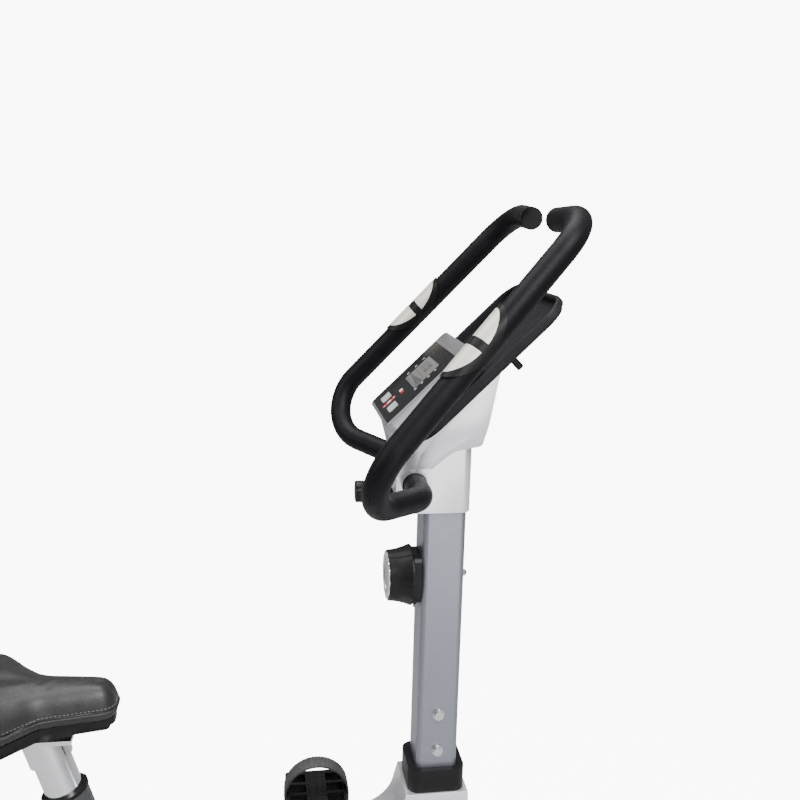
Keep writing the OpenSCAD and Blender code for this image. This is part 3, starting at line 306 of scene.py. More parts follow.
def place_group(tree, group, **values):
    """Puts a node group in a material's tree, with its own values."""
    n = add(tree, "ShaderNodeGroup", node_tree=group)
    for label, v in values.items():
        n.inputs[label.replace("_", " ")].default_value = v
    return n

def mixed(tree, factor, first, second):
    """A colour between two colours, by a factor socket."""
    n = add(tree, "ShaderNodeMix", data_type="RGBA")
    tree.links.new(factor, n.inputs["Factor"])
    for socket, value in ((n.inputs[6], first), (n.inputs[7], second)):
        if isinstance(value, tuple):
            socket.default_value = (*value, 1)
        else:
            tree.links.new(value, socket)
    return n.outputs[2]

def finish_of(name, colour, rough, metal=0.0, texture=None, scale=900.0, bump=0.15, depth=0.0002,
              tone=0.15, smudge=0.06, dust=0.05, stretch=None, **sockets):
    """A material from a colour, with one of the shared effects for its texture."""
    m = bpy.data.materials.new(name)
    m.use_nodes = True
    t = m.node_tree
    shader = t.nodes["Principled BSDF"]
    shader.inputs["Metallic"].default_value = metal
    for label, v in sockets.items():
        shader.inputs[label.replace("_", " ")].default_value = v
    dark = tuple(c * (1 - tone) for c in colour)
    light = tuple(min(1, c * (1 + tone)) for c in colour)
    if texture == "flake":
        g = place_group(t, flake, Scale=scale)
        height, change = g.outputs["Height"], g.outputs["Sparkle"]
    elif texture == "drawn":
        g = place_group(t, drawn, **dict(zip(("Along_X", "Along_Y", "Along_Z"), stretch)))
        height = change = g.outputs["Line"]
    else:
        g = place_group(t, grain, Scale=scale)
        height, change = g.outputs["Height"], g.outputs["Mottle"]
    soil = place_group(t, soiling)
    base = mixed(t, change, dark, light)
    dusty = mixed(t, maths(t, "MULTIPLY", soil.outputs["Dust"], dust), base, (0.55, 0.54, 0.52))
    t.links.new(dusty, shader.inputs["Base Color"])
    t.links.new(remap(t, soil.outputs["Smudge"], 0, 1, rough, rough + smudge), shader.inputs["Roughness"])
    b = add(t, "ShaderNodeBump")
    b.inputs["Strength"].default_value = bump
    b.inputs["Distance"].default_value = depth
    t.links.new(height, b.inputs["Height"])
    t.links.new(b.outputs["Normal"], shader.inputs["Normal"])
    materials[name] = m
    return m

finish_of("foam", (0.0032, 0.0030, 0.0037), 0.46, scale=1500, bump=0.35, depth=0.0003, tone=0.12,
          dust=0.01, Specular_IOR_Level=0.15, Specular_Tint=(0.92, 0.89, 1.0, 1))
finish_of("mast_paint", (0.245, 0.25, 0.295), 0.34, metal=0.8, texture="flake", scale=2600, bump=0.08,
          tone=0.20, dust=0.02, Coat_Weight=0.1, Coat_Roughness=0.25)
finish_of("silver_cover", (0.84, 0.84, 0.875), 0.31, metal=0.8, texture="flake", scale=2800, bump=0.05,
          tone=0.08, dust=0.01, Coat_Weight=0.12, Coat_Roughness=0.2)
finish_of("case_silver", (0.36, 0.365, 0.385), 0.32, metal=0.75, texture="flake", scale=2800, bump=0.05,
          tone=0.08, dust=0.01, Coat_Weight=0.1, Coat_Roughness=0.2)
finish_of("black_plastic", (0.006, 0.006, 0.0065), 0.38, scale=1300, bump=0.18, tone=0.2, dust=0.02,
          Specular_IOR_Level=0.2)
finish_of("charcoal_plastic", (0.011, 0.011, 0.013), 0.5, scale=1600, bump=0.4, tone=0.2, dust=0.01,
          Specular_IOR_Level=0.16)
finish_of("gloss_black", (0.0035, 0.0035, 0.004), 0.16, scale=300, bump=0.02, tone=0.1, smudge=0.1,
          dust=0.01, Specular_IOR_Level=0.12)
finish_of("frame_paint", (0.042, 0.043, 0.048), 0.42, texture="flake", scale=1800, bump=0.08, tone=0.2)
finish_of("rubber", (0.035, 0.035, 0.036), 0.68, scale=1000, bump=0.4, tone=0.25, dust=0.15)
finish_of("steel", (0.56, 0.56, 0.57), 0.30, metal=1.0, texture="drawn", stretch=(300, 60, 300), bump=0.08,
          tone=0.12)
finish_of("turned_steel", (0.52, 0.52, 0.54), 0.24, metal=1.0, texture="drawn", stretch=(50, 1500, 50),
          bump=0.10, tone=0.10)
finish_of("chrome", (0.78, 0.79, 0.80), 0.08, metal=1.0, scale=200, bump=0.01, tone=0.03)
finish_of("iron", (0.16, 0.16, 0.17), 0.42, metal=0.9, scale=800, bump=0.35, tone=0.25)
finish_of("alloy", (0.46, 0.475, 0.51), 0.26, metal=1.0, texture="drawn", stretch=(40, 900, 900), bump=0.05,
          tone=0.08)
finish_of("button_grey", (0.40, 0.41, 0.42), 0.42, scale=1300, bump=0.12, tone=0.08)
finish_of("lcd", (0.155, 0.150, 0.145), 0.2, scale=260, bump=0.01, tone=0.05, dust=0.01,
          Specular_IOR_Level=0.3)
finish_of("lcd_ink", (0.035, 0.04, 0.04), 0.3, scale=400, bump=0.01, tone=0.1)
finish_of("white_print", (0.62, 0.62, 0.60), 0.5, scale=900, bump=0.02, tone=0.06)
finish_of("red_print", (0.34, 0.018, 0.022), 0.4, scale=900, bump=0.02, tone=0.1)
finish_of("alloy_pale", (0.86, 0.865, 0.87), 0.30, metal=0.9, scale=900, bump=0.05, tone=0.04)
finish_of("sensor_plate", (0.70, 0.66, 0.57), 0.38, metal=0.25, texture="drawn", stretch=(1500, 30, 1500),
          bump=0.25, tone=0.12)
finish_of("vinyl", (0.012, 0.012, 0.013), 0.44, scale=520, bump=0.5, depth=0.0005, tone=0.2, dust=0.04)
finish_of("thread", (0.20, 0.20, 0.21), 0.7, scale=2500, bump=0.4, tone=0.15)
print("made", len(materials), "finishes")

# %% Give each node its finish
FINISH_OF_NODES = {
    "mast_paint": "mast",
    "frame_paint": "handlebar bar_clamp seat_tube base_beam front_stabiliser rear_stabiliser crank_shell "
                   "frame_stays flywheel_fork",
    "black_plastic": "end_caps seat_bush mast_boot tension_housing tension_knob clamp_knob pulse_shells "
                     "seat_knob saddle_base crank_pulley tray_peg pedal_left pedal_right crank_nuts "
                     "brake_cable",
    "charcoal_plastic": "console_tray console_back",
    "gloss_black": "bar_plugs console_face",
    "silver_cover": "cover_left cover_right neck_front neck_rear console_case",
    "rubber": "wheel_left wheel_right strap_left strap_right drive_belt",
    "foam": "foam_grips",
    "steel": "frame_bolts wheel_pins cover_screws brake_bracket pedal_spindles crank_arm_left "
             "crank_arm_right",
    "turned_steel": "crank_axle bearings flywheel_axle flywheel_pulley",
    "iron": "flywheel brake_magnets",
    "chrome": "seat_post",
    "alloy": "knob_face",
    "sensor_plate": "pulse_plates",
    "lcd": "lcd_window",
    "button_grey": "button_left button_right",
    "vinyl": "saddle_cushion",
}
for finish, names in FINISH_OF_NODES.items():
    for name in names.split():
        for s in nodes[name].material_slots:
            s.material = materials[finish]
left_over = set(nodes) - {n for names in FINISH_OF_NODES.values() for n in names.split()}
print("nodes without a finish:", sorted(left_over))

# %% [markdown]
# ## Rounded edges on the moulded covers
# Moulded plastic has no sharp edges, and a round edge is what catches the light. CAD keeps the covers
# exact but sharp. Here each one is copied, its loose triangles are joined, flat areas are merged, and the
# edges that a hand would touch get a round bevel. The copy then stands for the CAD node.

# %% Copy a node with round edges
def joined_copy(node, name):
    """A copy of a node's mesh, with a bmesh of it: doubles merged and flat areas dissolved."""
    mesh = nodes[node].data.copy()
    mesh.name = name
    bm = bmesh.new()
    bm.from_mesh(mesh)
    bmesh.ops.remove_doubles(bm, verts=bm.verts, dist=2e-6)
    bmesh.ops.dissolve_limit(bm, angle_limit=math.radians(0.4), verts=bm.verts, edges=bm.edges)
    bmesh.ops.recalc_face_normals(bm, faces=bm.faces)
    return mesh, bm

def rounded_copy(node, body, finish, pick, width, segments):
    """Replaces a node by a copy whose picked edges are bevelled to a width."""
    mesh, bm = joined_copy(node, node + "_moulded")
    sharp = [e for e in bm.edges if len(e.link_faces) == 2 and e.is_convex
             and e.calc_face_angle() > math.radians(50) and pick(e)]
    bmesh.ops.bevel(bm, geom=sharp, offset=width, offset_type="OFFSET", segments=segments, profile=0.5,
                    affect="EDGES", clamp_overlap=True)
    for f in bm.faces:
        f.smooth = True
    for e in bm.edges:
        e.smooth = len(e.link_faces) == 2 and e.calc_face_angle() < math.radians(32)
    bm.to_mesh(mesh)
    bm.free()
    mesh.materials.clear()
    o = new_object(mesh.name, mesh, materials[finish])
    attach(o, body)
    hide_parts(node)
    print(o.name, "has", len(sharp), "rounded edges and", len(mesh.polygons), "faces")
    return o

def middle(e):
    """The middle of an edge."""
    return (e.verts[0].co + e.verts[1].co) / 2

crank = (Vector(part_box("crank_axle")[0]) + Vector(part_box("crank_axle")[1])) / 2
half_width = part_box("cover_left")[1][1]

def cover_edge(e):
    """True on the outline of a cover's side face, away from the crank's hole."""
    m = middle(e)
    sides = sorted(abs(f.normal.y) for f in e.link_faces)
    outer = sides[1] > 0.8 and sides[0] < 0.35
    facing_out = max(e.link_faces, key=lambda f: abs(f.normal.y)).normal.y * m.y > 0
    return outer and facing_out and abs(m.y) > 0.03 and (m.xz - crank.xz).length > 0.05

for side in ("left", "right"):
    rounded_copy("cover_" + side, "frame", "silver_cover", cover_edge, 0.0085, 5)

# %% The neck covers, the console case and the tray
NECK_ROUND, CASE_ROUND, TRAY_ROUND, CLAMP_KNOB_ROUND = 0.0028, 0.0022, 0.0025, 0.0016

def neck_edge(e):
    """True on the outline of a neck cover's side faces."""
    m = middle(e)
    sides = sorted(abs(f.normal.y) for f in e.link_faces)
    out = max(e.link_faces, key=lambda f: abs(f.normal.y)).normal.y * m.y > 0
    return sides[1] > 0.6 and sides[0] < 0.4 and out and abs(m.y) > 0.03

for name in ("neck_front", "neck_rear"):
    rounded_copy(name, "frame", "silver_cover", neck_edge, NECK_ROUND, 3)

def slope_edge(level, tolerance=0.0006):
    """Picks the edges that lie on one level of the console's slope."""
    return lambda e: all(abs(v.co.dot(OUT) - level) < tolerance for v in e.verts)

case_top = reach("console_case", OUT)[1]
case_half = reach("console_case", Vector((0, 1, 0)))[1]

def case_edge(e):
    """True on the outer rim of the console case, and not on the openings in it."""
    m = middle(e)
    u = m.dot(UP_SLOPE)
    outer = abs(m.y) > case_half - 0.003 or u > face_high + 0.010 or u < face_low - 0.002
    return outer and slope_edge(case_top)(e)

rounded_copy("console_case", "frame", "case_silver", case_edge, CASE_ROUND, 3)
tray_top = reach("console_tray", OUT)[1]
rounded_copy("console_tray", "frame", "charcoal_plastic", slope_edge(tray_top), TRAY_ROUND, 3)
rounded_copy("clamp_knob", "clamp_knob", "black_plastic", lambda e: e.calc_length() > 0.0004,
             CLAMP_KNOB_ROUND, 3)

# %% [markdown]
# ## Print on the console
# The face carries a little print: marks around the display, two small signs above the keys and a red
# oval between them. Each is a very thin raised shape, cut as a flat outline on the slope. Real print is
# thinner still, but this keeps it clear of the face and shows the same.

# %% Draw flat shapes on the slope
def flat_shapes(name, outlines, level, finish, thick=0.00012):
    """Thin raised shapes on the console, from outlines of (u, y) points in metres."""
    bm = bmesh.new()
    for outline in outlines:
        low = [bm.verts.new(on_face(u, y, level)) for u, y in outline]
        high = [bm.verts.new(on_face(u, y, level + thick)) for u, y in outline]
        bm.faces.new(high)
        bm.faces.new(low[::-1])
        for i in range(len(outline)):
            j = (i + 1) % len(outline)
            bm.faces.new((low[i], low[j], high[j], high[i]))
    bmesh.ops.recalc_face_normals(bm, faces=bm.faces)
    mesh = bpy.data.meshes.new(name)
    bm.to_mesh(mesh)
    bm.free()
    o = new_object(name, mesh, materials[finish])
    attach(o, "frame")
    print(name, "has", len(outlines), "shapes")
    return o

def bar(u, y, du, dy):
    """A rectangle about a centre."""
    return [(u - du / 2, y - dy / 2), (u + du / 2, y - dy / 2), (u + du / 2, y + dy / 2),
            (u - du / 2, y + dy / 2)]

def oval(u, y, du, dy, n=32):
    """An ellipse about a centre."""
    return [(u + du / 2 * math.cos(2 * math.pi * k / n), y + dy / 2 * math.sin(2 * math.pi * k / n))
            for k in range(n)]

SEGMENTS = {"0": "abcdef"}
PRINT_LIFT = 0.00002

def digit(u, y, high, wide, shape):
    """A seven-segment digit, read from the saddle, as a list of bars."""
    t = wide * 0.2
    places = {"a": (high / 2, 0, t, wide), "g": (0, 0, t, wide), "d": (-high / 2, 0, t, wide),
              "f": (high / 4, wide / 2, high * 0.42, t), "b": (high / 4, -wide / 2, high * 0.42, t),
              "e": (-high / 4, wide / 2, high * 0.42, t), "c": (-high / 4, -wide / 2, high * 0.42, t)}
    return [bar(u + places[s][0], y + places[s][1], places[s][2], places[s][3]) for s in SEGMENTS[shape]]

lcd_low, lcd_high = (v - face_high for v in reach("lcd_window", UP_SLOPE))
lcd_level = reach("lcd_window", OUT)[1] - face_out
lcd_u = (lcd_low + lcd_high) / 2
ink = []
for k, shape in enumerate("0:00"):
    if shape == ":":
        ink += [bar(lcd_u + 0.009 + s * 0.003, 0.0125 - k * 0.0085, 0.0012, 0.0012) for s in (-1, 1)]
    else:
        ink += digit(lcd_u + 0.009, 0.0145 - k * 0.0085, 0.012, 0.0055, shape)
for k in range(10):
    ink.append(bar(lcd_u - 0.0125, 0.029 - k * 0.0064, 0.002 + 0.0010 * k, 0.0036))
for u in (-0.0195, -0.0035):
    ink.append(bar(lcd_u + u, 0, 0.0006, 0.066))
flat_shapes("display_segments", ink, lcd_level + PRINT_LIFT, "lcd_ink")

marks = [bar(lcd_u + k * 0.0145, 0.0425, 0.0036, 0.0026) for k in (-1, 0, 1)]
marks += [bar(lcd_u + k * 0.0115 - 0.004, -0.0425, 0.0036, 0.0026) for k in (-1.5, -0.5, 0.5, 1.5)]
marks += [bar(-0.0795, 0.0045, 0.0055, 0.0085)]
flat_shapes("face_marks", marks, PRINT_LIFT, "white_print")

button_low, button_high = (v - face_high for v in reach("button_left", UP_SLOPE))
keys_u = (button_low + button_high) / 2
ring = oval(keys_u, 0.002, 0.024, 0.0125)
flat_shapes("red_marks", [ring, bar(-0.0795, -0.0065, 0.0055, 0.0085)], PRINT_LIFT, "red_print")
flat_shapes("key_sign", [oval(keys_u, 0.002, 0.0075, 0.006), bar(keys_u - 0.0085, 0.002, 0.002, 0.004),
                         bar(keys_u + 0.0085, 0.002, 0.002, 0.004)],
            0.00016, "white_print")

# %% [markdown]
# ## The padded saddle
# A saddle pad is foam under stretched vinyl, so it swells between its edges. The CAD cushion gives the
# outline and the height. Its copy is drawn in a little, its top edge is rolled over, and an even skin is
# laid on it. Cloth with a light inner pressure then fills it out, held along its flat underside. A limit
# on how far each point may move keeps it in the cushion's place.

# %% Shape the pad before it swells
PAD_VOXEL = 0.005
GROOVE_HALF, GROOVE_DEEP = 0.012, 0.0035
low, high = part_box("saddle_cushion")
pad_centre = (low + high) / 2

def edge_distance(points, outline):
    """How far each point is inside a closed outline, seen from above."""
    a, b = np.array(outline), np.roll(np.array(outline), -1, axis=0)
    along = b - a
    t = ((points[:, None] - a) * along).sum(2) / (along ** 2).sum(1)
    near = a + np.clip(t, 0, 1)[..., None] * along
    return np.linalg.norm(points[:, None] - near, axis=2).min(1)

def pad_start(roll=0.024, draw_in=0.968):
    """The cushion's mesh, remeshed evenly, drawn in, with its top edge rolled over."""
    mesh, bm = joined_copy("saddle_cushion", "saddle_pad")
    bm.to_mesh(mesh)
    rim = [v.co.xy.copy() for v in bm.verts if abs(v.co.z - low.z) < 0.0005]
    rim.sort(key=lambda p: math.atan2(p.y - pad_centre.y, p.x - pad_centre.x))
    bm.free()
    mesh.materials.clear()
    o = new_object("saddle_pad", mesh, materials["vinyl"])
    skin = o.modifiers.new("skin", "REMESH")
    skin.mode, skin.voxel_size = "VOXEL", PAD_VOXEL
    even = bpy.data.meshes.new_from_object(o.evaluated_get(bpy.context.evaluated_depsgraph_get()))
    o.modifiers.clear()
    o.data = even
    co = np.array([v.co for v in even.vertices])
    inside = edge_distance(co[:, :2], [tuple(p) for p in rim])
    rolled = np.sqrt(np.clip(1 - (1 - np.clip(inside / roll, 0, 1)) ** 2, 0, 1))
    height = (co[:, 2] - low.z) / (high.z - low.z)
    co[:, 2] = low.z + (co[:, 2] - low.z) * (1 - height * (1 - rolled) * 0.85)
    middle_groove = np.exp(-(co[:, 1] / GROOVE_HALF) ** 2) * np.clip(height, 0, 1) ** 2
    co[:, 2] -= GROOVE_DEEP * middle_groove
    co[:, :2] = np.array(pad_centre.xy) + (co[:, :2] - np.array(pad_centre.xy)) * draw_in
    even.vertices.foreach_set("co", co.ravel())
    for p in even.polygons:
        p.use_smooth = True
    return o

pad = pad_start()
print("pad skin has", len(pad.data.vertices), "points")

# %% Let the pad swell
def swell(o, pressure=4.0, frames=20, most=0.008):
    """Inflates a closed mesh with cloth pressure and keeps the result, with every move capped."""
    start = np.array([v.co for v in o.data.vertices])
    held = o.vertex_groups.new(name="held")
    held.add([int(i) for i in np.where(start[:, 2] < low.z + 0.006)[0]], 1.0, "REPLACE")
    cloth = o.modifiers.new("swell", "CLOTH")
    s = cloth.settings
    s.use_pressure, s.uniform_pressure_force = True, pressure
    s.vertex_group_mass = "held"
    s.effector_weights.gravity = 0
    s.tension_stiffness = s.compression_stiffness = 12
    s.bending_stiffness = 0.6
    s.quality = 6
    scene = bpy.context.scene
    cloth.point_cache.frame_start, cloth.point_cache.frame_end = 1, frames
    for f in range(1, frames + 1):
        scene.frame_set(f)
    blown = o.evaluated_get(bpy.context.evaluated_depsgraph_get()).to_mesh()
    end = np.array([v.co for v in blown.vertices])
    o.to_mesh_clear()
    o.modifiers.clear()
    o.vertex_groups.clear()
    scene.frame_set(1)
    move = end - start
    length = np.linalg.norm(move, axis=1, keepdims=True)
    end = start + move * np.minimum(1, most / np.maximum(length, 1e-9))
    end[:, 2] = np.maximum(end[:, 2], low.z)
    o.data.vertices.foreach_set("co", end.ravel())
    o.data.update()
    return float(length.max())

print("the pad swelled by up to", round(swell(pad) * 1000, 1), "mm")
smoother = pad.modifiers.new("round", "SUBSURF")
smoother.levels = smoother.render_levels = 1
finer = bpy.data.meshes.new_from_object(pad.evaluated_get(bpy.context.evaluated_depsgraph_get()))
pad.modifiers.clear()
pad.data = finer
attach(pad, "seat")
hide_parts("saddle_cushion")
print("finished pad has", len(finer.polygons), "faces")

# %% [markdown]
# ## Piping and stitches
# A welt runs round the pad where its top panel meets its side, and a line of stitches follows it. A ray
# from outside finds the pad's own surface at each place, so both lie on the pad however it swelled. The
# stitches are one small bead repeated along a line, which is what Geometry Nodes does best.

# %% Lay the welt
pad_skin = BVHTree.FromPolygons([v.co.copy() for v in finer.vertices],
                                [p.vertices[:] for p in finer.polygons])

def loop_on_pad(z, out, count=220):
    """Points round the pad at one height, a little out of its surface."""
    points = []
    for k in range(count):
        a = 2 * math.pi * k / count
        ray = Vector((math.cos(a), math.sin(a), 0))
        hit, normal, _, _ = pad_skin.ray_cast(Vector((pad_centre.x, 0, z)) + ray * 0.4, -ray)
        points.append(hit + normal * out)
    return points

def tube(name, points, radius, sides=8):
    """A closed tube along a loop of points."""
    bm = bmesh.new()
    rings = []
    n = len(points)
    for k, p in enumerate(points):
        along = (points[(k + 1) % n] - points[k - 1]).normalized()
        side = along.cross(Vector((0, 0, 1))).normalized()
        up = side.cross(along)
        rings.append([bm.verts.new(p + (side * math.cos(a) + up * math.sin(a)) * radius)
                      for a in np.linspace(0, 2 * math.pi, sides, endpoint=False)])
    for k in range(n):
        a, b = rings[k], rings[(k + 1) % n]
        for i in range(sides):
            j = (i + 1) % sides
            bm.faces.new((a[i], a[j], b[j], b[i]))
    bmesh.ops.recalc_face_normals(bm, faces=bm.faces)
    for f in bm.faces:
        f.smooth = True
    mesh = bpy.data.meshes.new(name)
    bm.to_mesh(mesh)
    bm.free()
    return mesh

WELT_R, WELT_OUT = 0.0018, 0.0004
welt_z = low.z + 0.012
welt = new_object("saddle_welt", tube("saddle_welt", loop_on_pad(welt_z, WELT_OUT), WELT_R),
                  materials["vinyl"])
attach(welt, "seat")
print("the welt has", len(welt.data.polygons), "faces")

# %% Build the repeating trees
def geometry_tree(name):
    """An empty Geometry Nodes tree with a geometry in and out."""
    g = bpy.data.node_groups.new(name, "GeometryNodeTree")
    g.interface.new_socket("Geometry", in_out="INPUT", socket_type="NodeSocketGeometry")
    g.interface.new_socket("Geometry", in_out="OUTPUT", socket_type="NodeSocketGeometry")
    return g, g.nodes.new("NodeGroupInput"), g.nodes.new("NodeGroupOutput")

def finish_tree(g, geometry, material_input, out):
    """Makes the copies real, gives them a material and sends them out."""
    real = g.nodes.new("GeometryNodeRealizeInstances")
    smooth = g.nodes.new("GeometryNodeSetShadeSmooth")
    dress = g.nodes.new("GeometryNodeSetMaterial")
    g.links.new(geometry, real.inputs[0])
    g.links.new(real.outputs[0], smooth.inputs["Geometry"])
    g.links.new(smooth.outputs[0], dress.inputs["Geometry"])
    g.links.new(material_input, dress.inputs["Material"])
    g.links.new(dress.outputs[0], out.inputs[0])

stitching, t_in, t_out = geometry_tree("stitching")
for label, kind, value in (("Spacing", "Float", 0.0052), ("Thickness", "Float", 0.0004),
                           ("Length", "Float", 0.0017), ("Material", "Material", None)):
    socket = stitching.interface.new_socket(label, in_out="INPUT", socket_type="NodeSocket" + kind)
    if value is not None:
        socket.default_value = value
curve = stitching.nodes.new("GeometryNodeMeshToCurve")
dots = stitching.nodes.new("GeometryNodeCurveToPoints")
dots.mode = "LENGTH"
bead = stitching.nodes.new("GeometryNodeMeshUVSphere")
bead.inputs["Segments"].default_value, bead.inputs["Rings"].default_value = 8, 5
bead.inputs["Radius"].default_value = 1.0
size = stitching.nodes.new("ShaderNodeCombineXYZ")
copies = stitching.nodes.new("GeometryNodeInstanceOnPoints")
link = stitching.links.new
link(t_in.outputs["Geometry"], curve.inputs["Mesh"])
link(curve.outputs[0], dots.inputs["Curve"])
link(t_in.outputs["Spacing"], dots.inputs["Length"])
link(dots.outputs["Points"], copies.inputs["Points"])
link(dots.outputs["Rotation"], copies.inputs["Rotation"])
link(bead.outputs["Mesh"], copies.inputs["Instance"])
link(t_in.outputs["Thickness"], size.inputs["X"])
link(t_in.outputs["Thickness"], size.inputs["Y"])
link(t_in.outputs["Length"], size.inputs["Z"])
link(size.outputs[0], copies.inputs["Scale"])
finish_tree(stitching, copies.outputs[0], t_in.outputs["Material"], t_out)

studding, t_in, t_out = geometry_tree("studding")
for label, kind, value in (("Radius", "Float", 0.0017), ("Height", "Float", 0.0012),
                           ("Material", "Material", None)):
    socket = studding.interface.new_socket(label, in_out="INPUT", socket_type="NodeSocket" + kind)
    if value is not None:
        socket.default_value = value
stud = studding.nodes.new("GeometryNodeMeshCone")
stud.inputs["Vertices"].default_value = 10
taper = studding.nodes.new("ShaderNodeMath")
taper.operation = "MULTIPLY"
taper.inputs[1].default_value = 0.6
copies = studding.nodes.new("GeometryNodeInstanceOnPoints")
facing = studding.nodes.new("FunctionNodeAlignRotationToVector")
outward = studding.nodes.new("GeometryNodeInputNamedAttribute")
outward.data_type = "FLOAT_VECTOR"
outward.inputs["Name"].default_value = "outward"
link = studding.links.new
link(t_in.outputs["Radius"], stud.inputs["Radius Bottom"])
link(t_in.outputs["Radius"], taper.inputs[0])
link(taper.outputs[0], stud.inputs["Radius Top"])
link(t_in.outputs["Height"], stud.inputs["Depth"])
link(t_in.outputs["Geometry"], copies.inputs["Points"])
link(outward.outputs["Attribute"], facing.inputs["Vector"])
link(facing.outputs["Rotation"], copies.inputs["Rotation"])
link(stud.outputs["Mesh"], copies.inputs["Instance"])
finish_tree(studding, copies.outputs[0], t_in.outputs["Material"], t_out)
print("built the stitching and studding trees")

# %% Stitch the saddle and stud the pedals
def baked(name, tree, source, finish, body, slot, **values):
    """Runs a tree on a source mesh once and keeps what it makes as a plain piece."""
    holder = new_object(name + "_source", source)
    run = holder.modifiers.new("repeat", "NODES")
    run.node_group = tree
    values["Material"] = materials[finish]
    for item in tree.interface.items_tree:
        if item.in_out == "INPUT" and item.name in values:
            run[item.identifier] = values[item.name]
    made = bpy.data.meshes.new_from_object(holder.evaluated_get(bpy.context.evaluated_depsgraph_get()))
    holder.modifiers.clear()
    bpy.data.objects.remove(holder)
    made.name = name
    if not made.materials:
        made.materials.append(materials[finish])
    o = bpy.data.objects.new(name, made)
    bpy.context.scene.collection.objects.link(o)
    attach(o, body)
    print(name, "has", len(made.polygons), "faces")
    return o

def loop_mesh(name, points):
    """A closed line as a mesh of edges."""
    mesh = bpy.data.meshes.new(name)
    n = len(points)
    mesh.from_pydata([tuple(p) for p in points], [(k, (k + 1) % n) for k in range(n)], [])
    return mesh

def point_mesh(name, points, outward):
    """Loose points, each with the direction its copy should face."""
    mesh = bpy.data.meshes.new(name)
    mesh.from_pydata([tuple(p) for p in points], [], [])
    direction = mesh.attributes.new("outward", "FLOAT_VECTOR", "POINT")
    direction.data.foreach_set("vector", np.array([tuple(v) for v in outward], np.float32).ravel())
    return mesh

baked("saddle_stitches", stitching, loop_mesh("stitch_line", loop_on_pad(low.z + 0.018, 0.0002)),
      "thread", "seat", "vinyl")

for side in ("left", "right"):
    a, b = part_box("pedal_" + side)
    c = (a + b) / 2
    spots, ways = [], []
    for top, z in ((1, b.z), (-1, a.z)):
        for x in (-0.011, 0.0, 0.011):
            for y in np.arange(a.y + 0.008, b.y - 0.006, 0.0095):
                spots.append((c.x + x, y, z - 0.0002 * top))
                ways.append((0, 0, top))
    baked("pedal_studs_" + side, studding, point_mesh("stud_spots", spots, ways), "black_plastic",
          "pedal_" + side, "black_plastic")

# %% [markdown]
# ## The tension knob
# The knob is a turned shape: a flared skirt that narrows towards the rider. Six faint grooves run along
# the skirt. It ends in a bright ring with a scalloped edge, whose radius rises and falls on the way round.
# Both come from one helper that turns a profile about the knob's axis.

# %% Turn the knob and its ring
a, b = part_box("knob_face")
knob_yz = ((a + b) / 2).yz
knob_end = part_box("tension_knob")[0].x
skirt_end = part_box("tension_housing")[0].x - 0.001
skirt_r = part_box("tension_knob")[1].y
face_r = (b.y - a.y) / 2
SHAFT_R = 0.006

def turned_x(name, profile, change=lambda x, r, t: r, steps=144):
    """A closed shape turned about the knob's axis from (x, radius) points. change varies the radius."""
    bm = bmesh.new()
    rings = []
    for x, r in profile:
        if r == 0:
            rings.append([bm.verts.new((x, *knob_yz))])
            continue
        ring = []
        for k in range(steps):
            t = 2 * math.pi * k / steps
            q = change(x, r, t)
            ring.append(bm.verts.new((x, knob_yz[0] + q * math.cos(t), knob_yz[1] + q * math.sin(t))))
        rings.append(ring)
    pairs = list(zip(rings, rings[1:]))
    if profile[0][1]:
        pairs.append((rings[-1], rings[0]))
    for p, q in pairs:
        for i in range(steps):
            j = (i + 1) % steps
            if len(p) == 1:
                bm.faces.new((p[0], q[i], q[j]))
            elif len(q) == 1:
                bm.faces.new((p[i], p[j], q[0]))
            else:
                bm.faces.new((p[i], p[j], q[j], q[i]))
    bmesh.ops.recalc_face_normals(bm, faces=bm.faces)
    for f in bm.faces:
        f.smooth = True
    for e in bm.edges:
        e.smooth = e.calc_face_angle(0) < math.radians(32)
    mesh = bpy.data.meshes.new(name)
    bm.to_mesh(mesh)
    bm.free()
    return mesh

def grooves(x, r, t):
    """Six shallow grooves on the skirt, and none on the shaft or the ends."""
    on_skirt = 1.0 if r > face_r + 0.002 and x < skirt_end - 0.0005 else 0.0
    return r - on_skirt * 0.0009 * math.exp(-(math.sin(3 * t) / 0.10) ** 2)

long = skirt_end - knob_end
skirt = [(knob_end + long * u, skirt_r - 0.007 * v) for u, v in (
    (0.005, 1.20), (0.03, 1.05), (0.10, 1.0), (0.25, 0.93), (0.45, 0.76), (0.65, 0.50), (0.80, 0.26),
    (0.90, 0.06), (0.94, 0.0), (0.975, 0.02), (0.995, 0.12))]
knob_profile = [(knob_end + 0.0025, 0), (knob_end + 0.0025, face_r + 0.0001), (knob_end, face_r + 0.0003)]
knob_profile += skirt + [(skirt_end, skirt_r - 0.002), (skirt_end, SHAFT_R),
                         (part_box("tension_knob")[1].x, SHAFT_R), (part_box("tension_knob")[1].x, 0)]
knob = new_object("knob_turned", turned_x("knob_turned", knob_profile, grooves), materials["black_plastic"])
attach(knob, "tension_knob")
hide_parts("tension_knob")

def scallops(x, r, t):
    """Pulls the outer edge in and out twelve times round, and leaves the inner edge round."""
    return r - (0.0014 * abs(math.sin(6 * t)) ** 3 if r > face_r else 0)

ring_out, ring_in = face_r + 0.0030, face_r * 0.80
ring_profile = [(knob_end + 0.0001, ring_in), (knob_end + 0.0001, ring_out), (knob_end - 0.0006, ring_out),
                (knob_end - 0.0010, ring_out - 0.0006), (knob_end - 0.0010, ring_in + 0.0006),
                (knob_end - 0.0005, ring_in)]
ring_piece = new_object("knob_ring", turned_x("knob_ring", ring_profile, scallops), materials["alloy_pale"])
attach(ring_piece, "tension_knob")
print("knob ring is", round(ring_out * 2000, 1), "mm across")

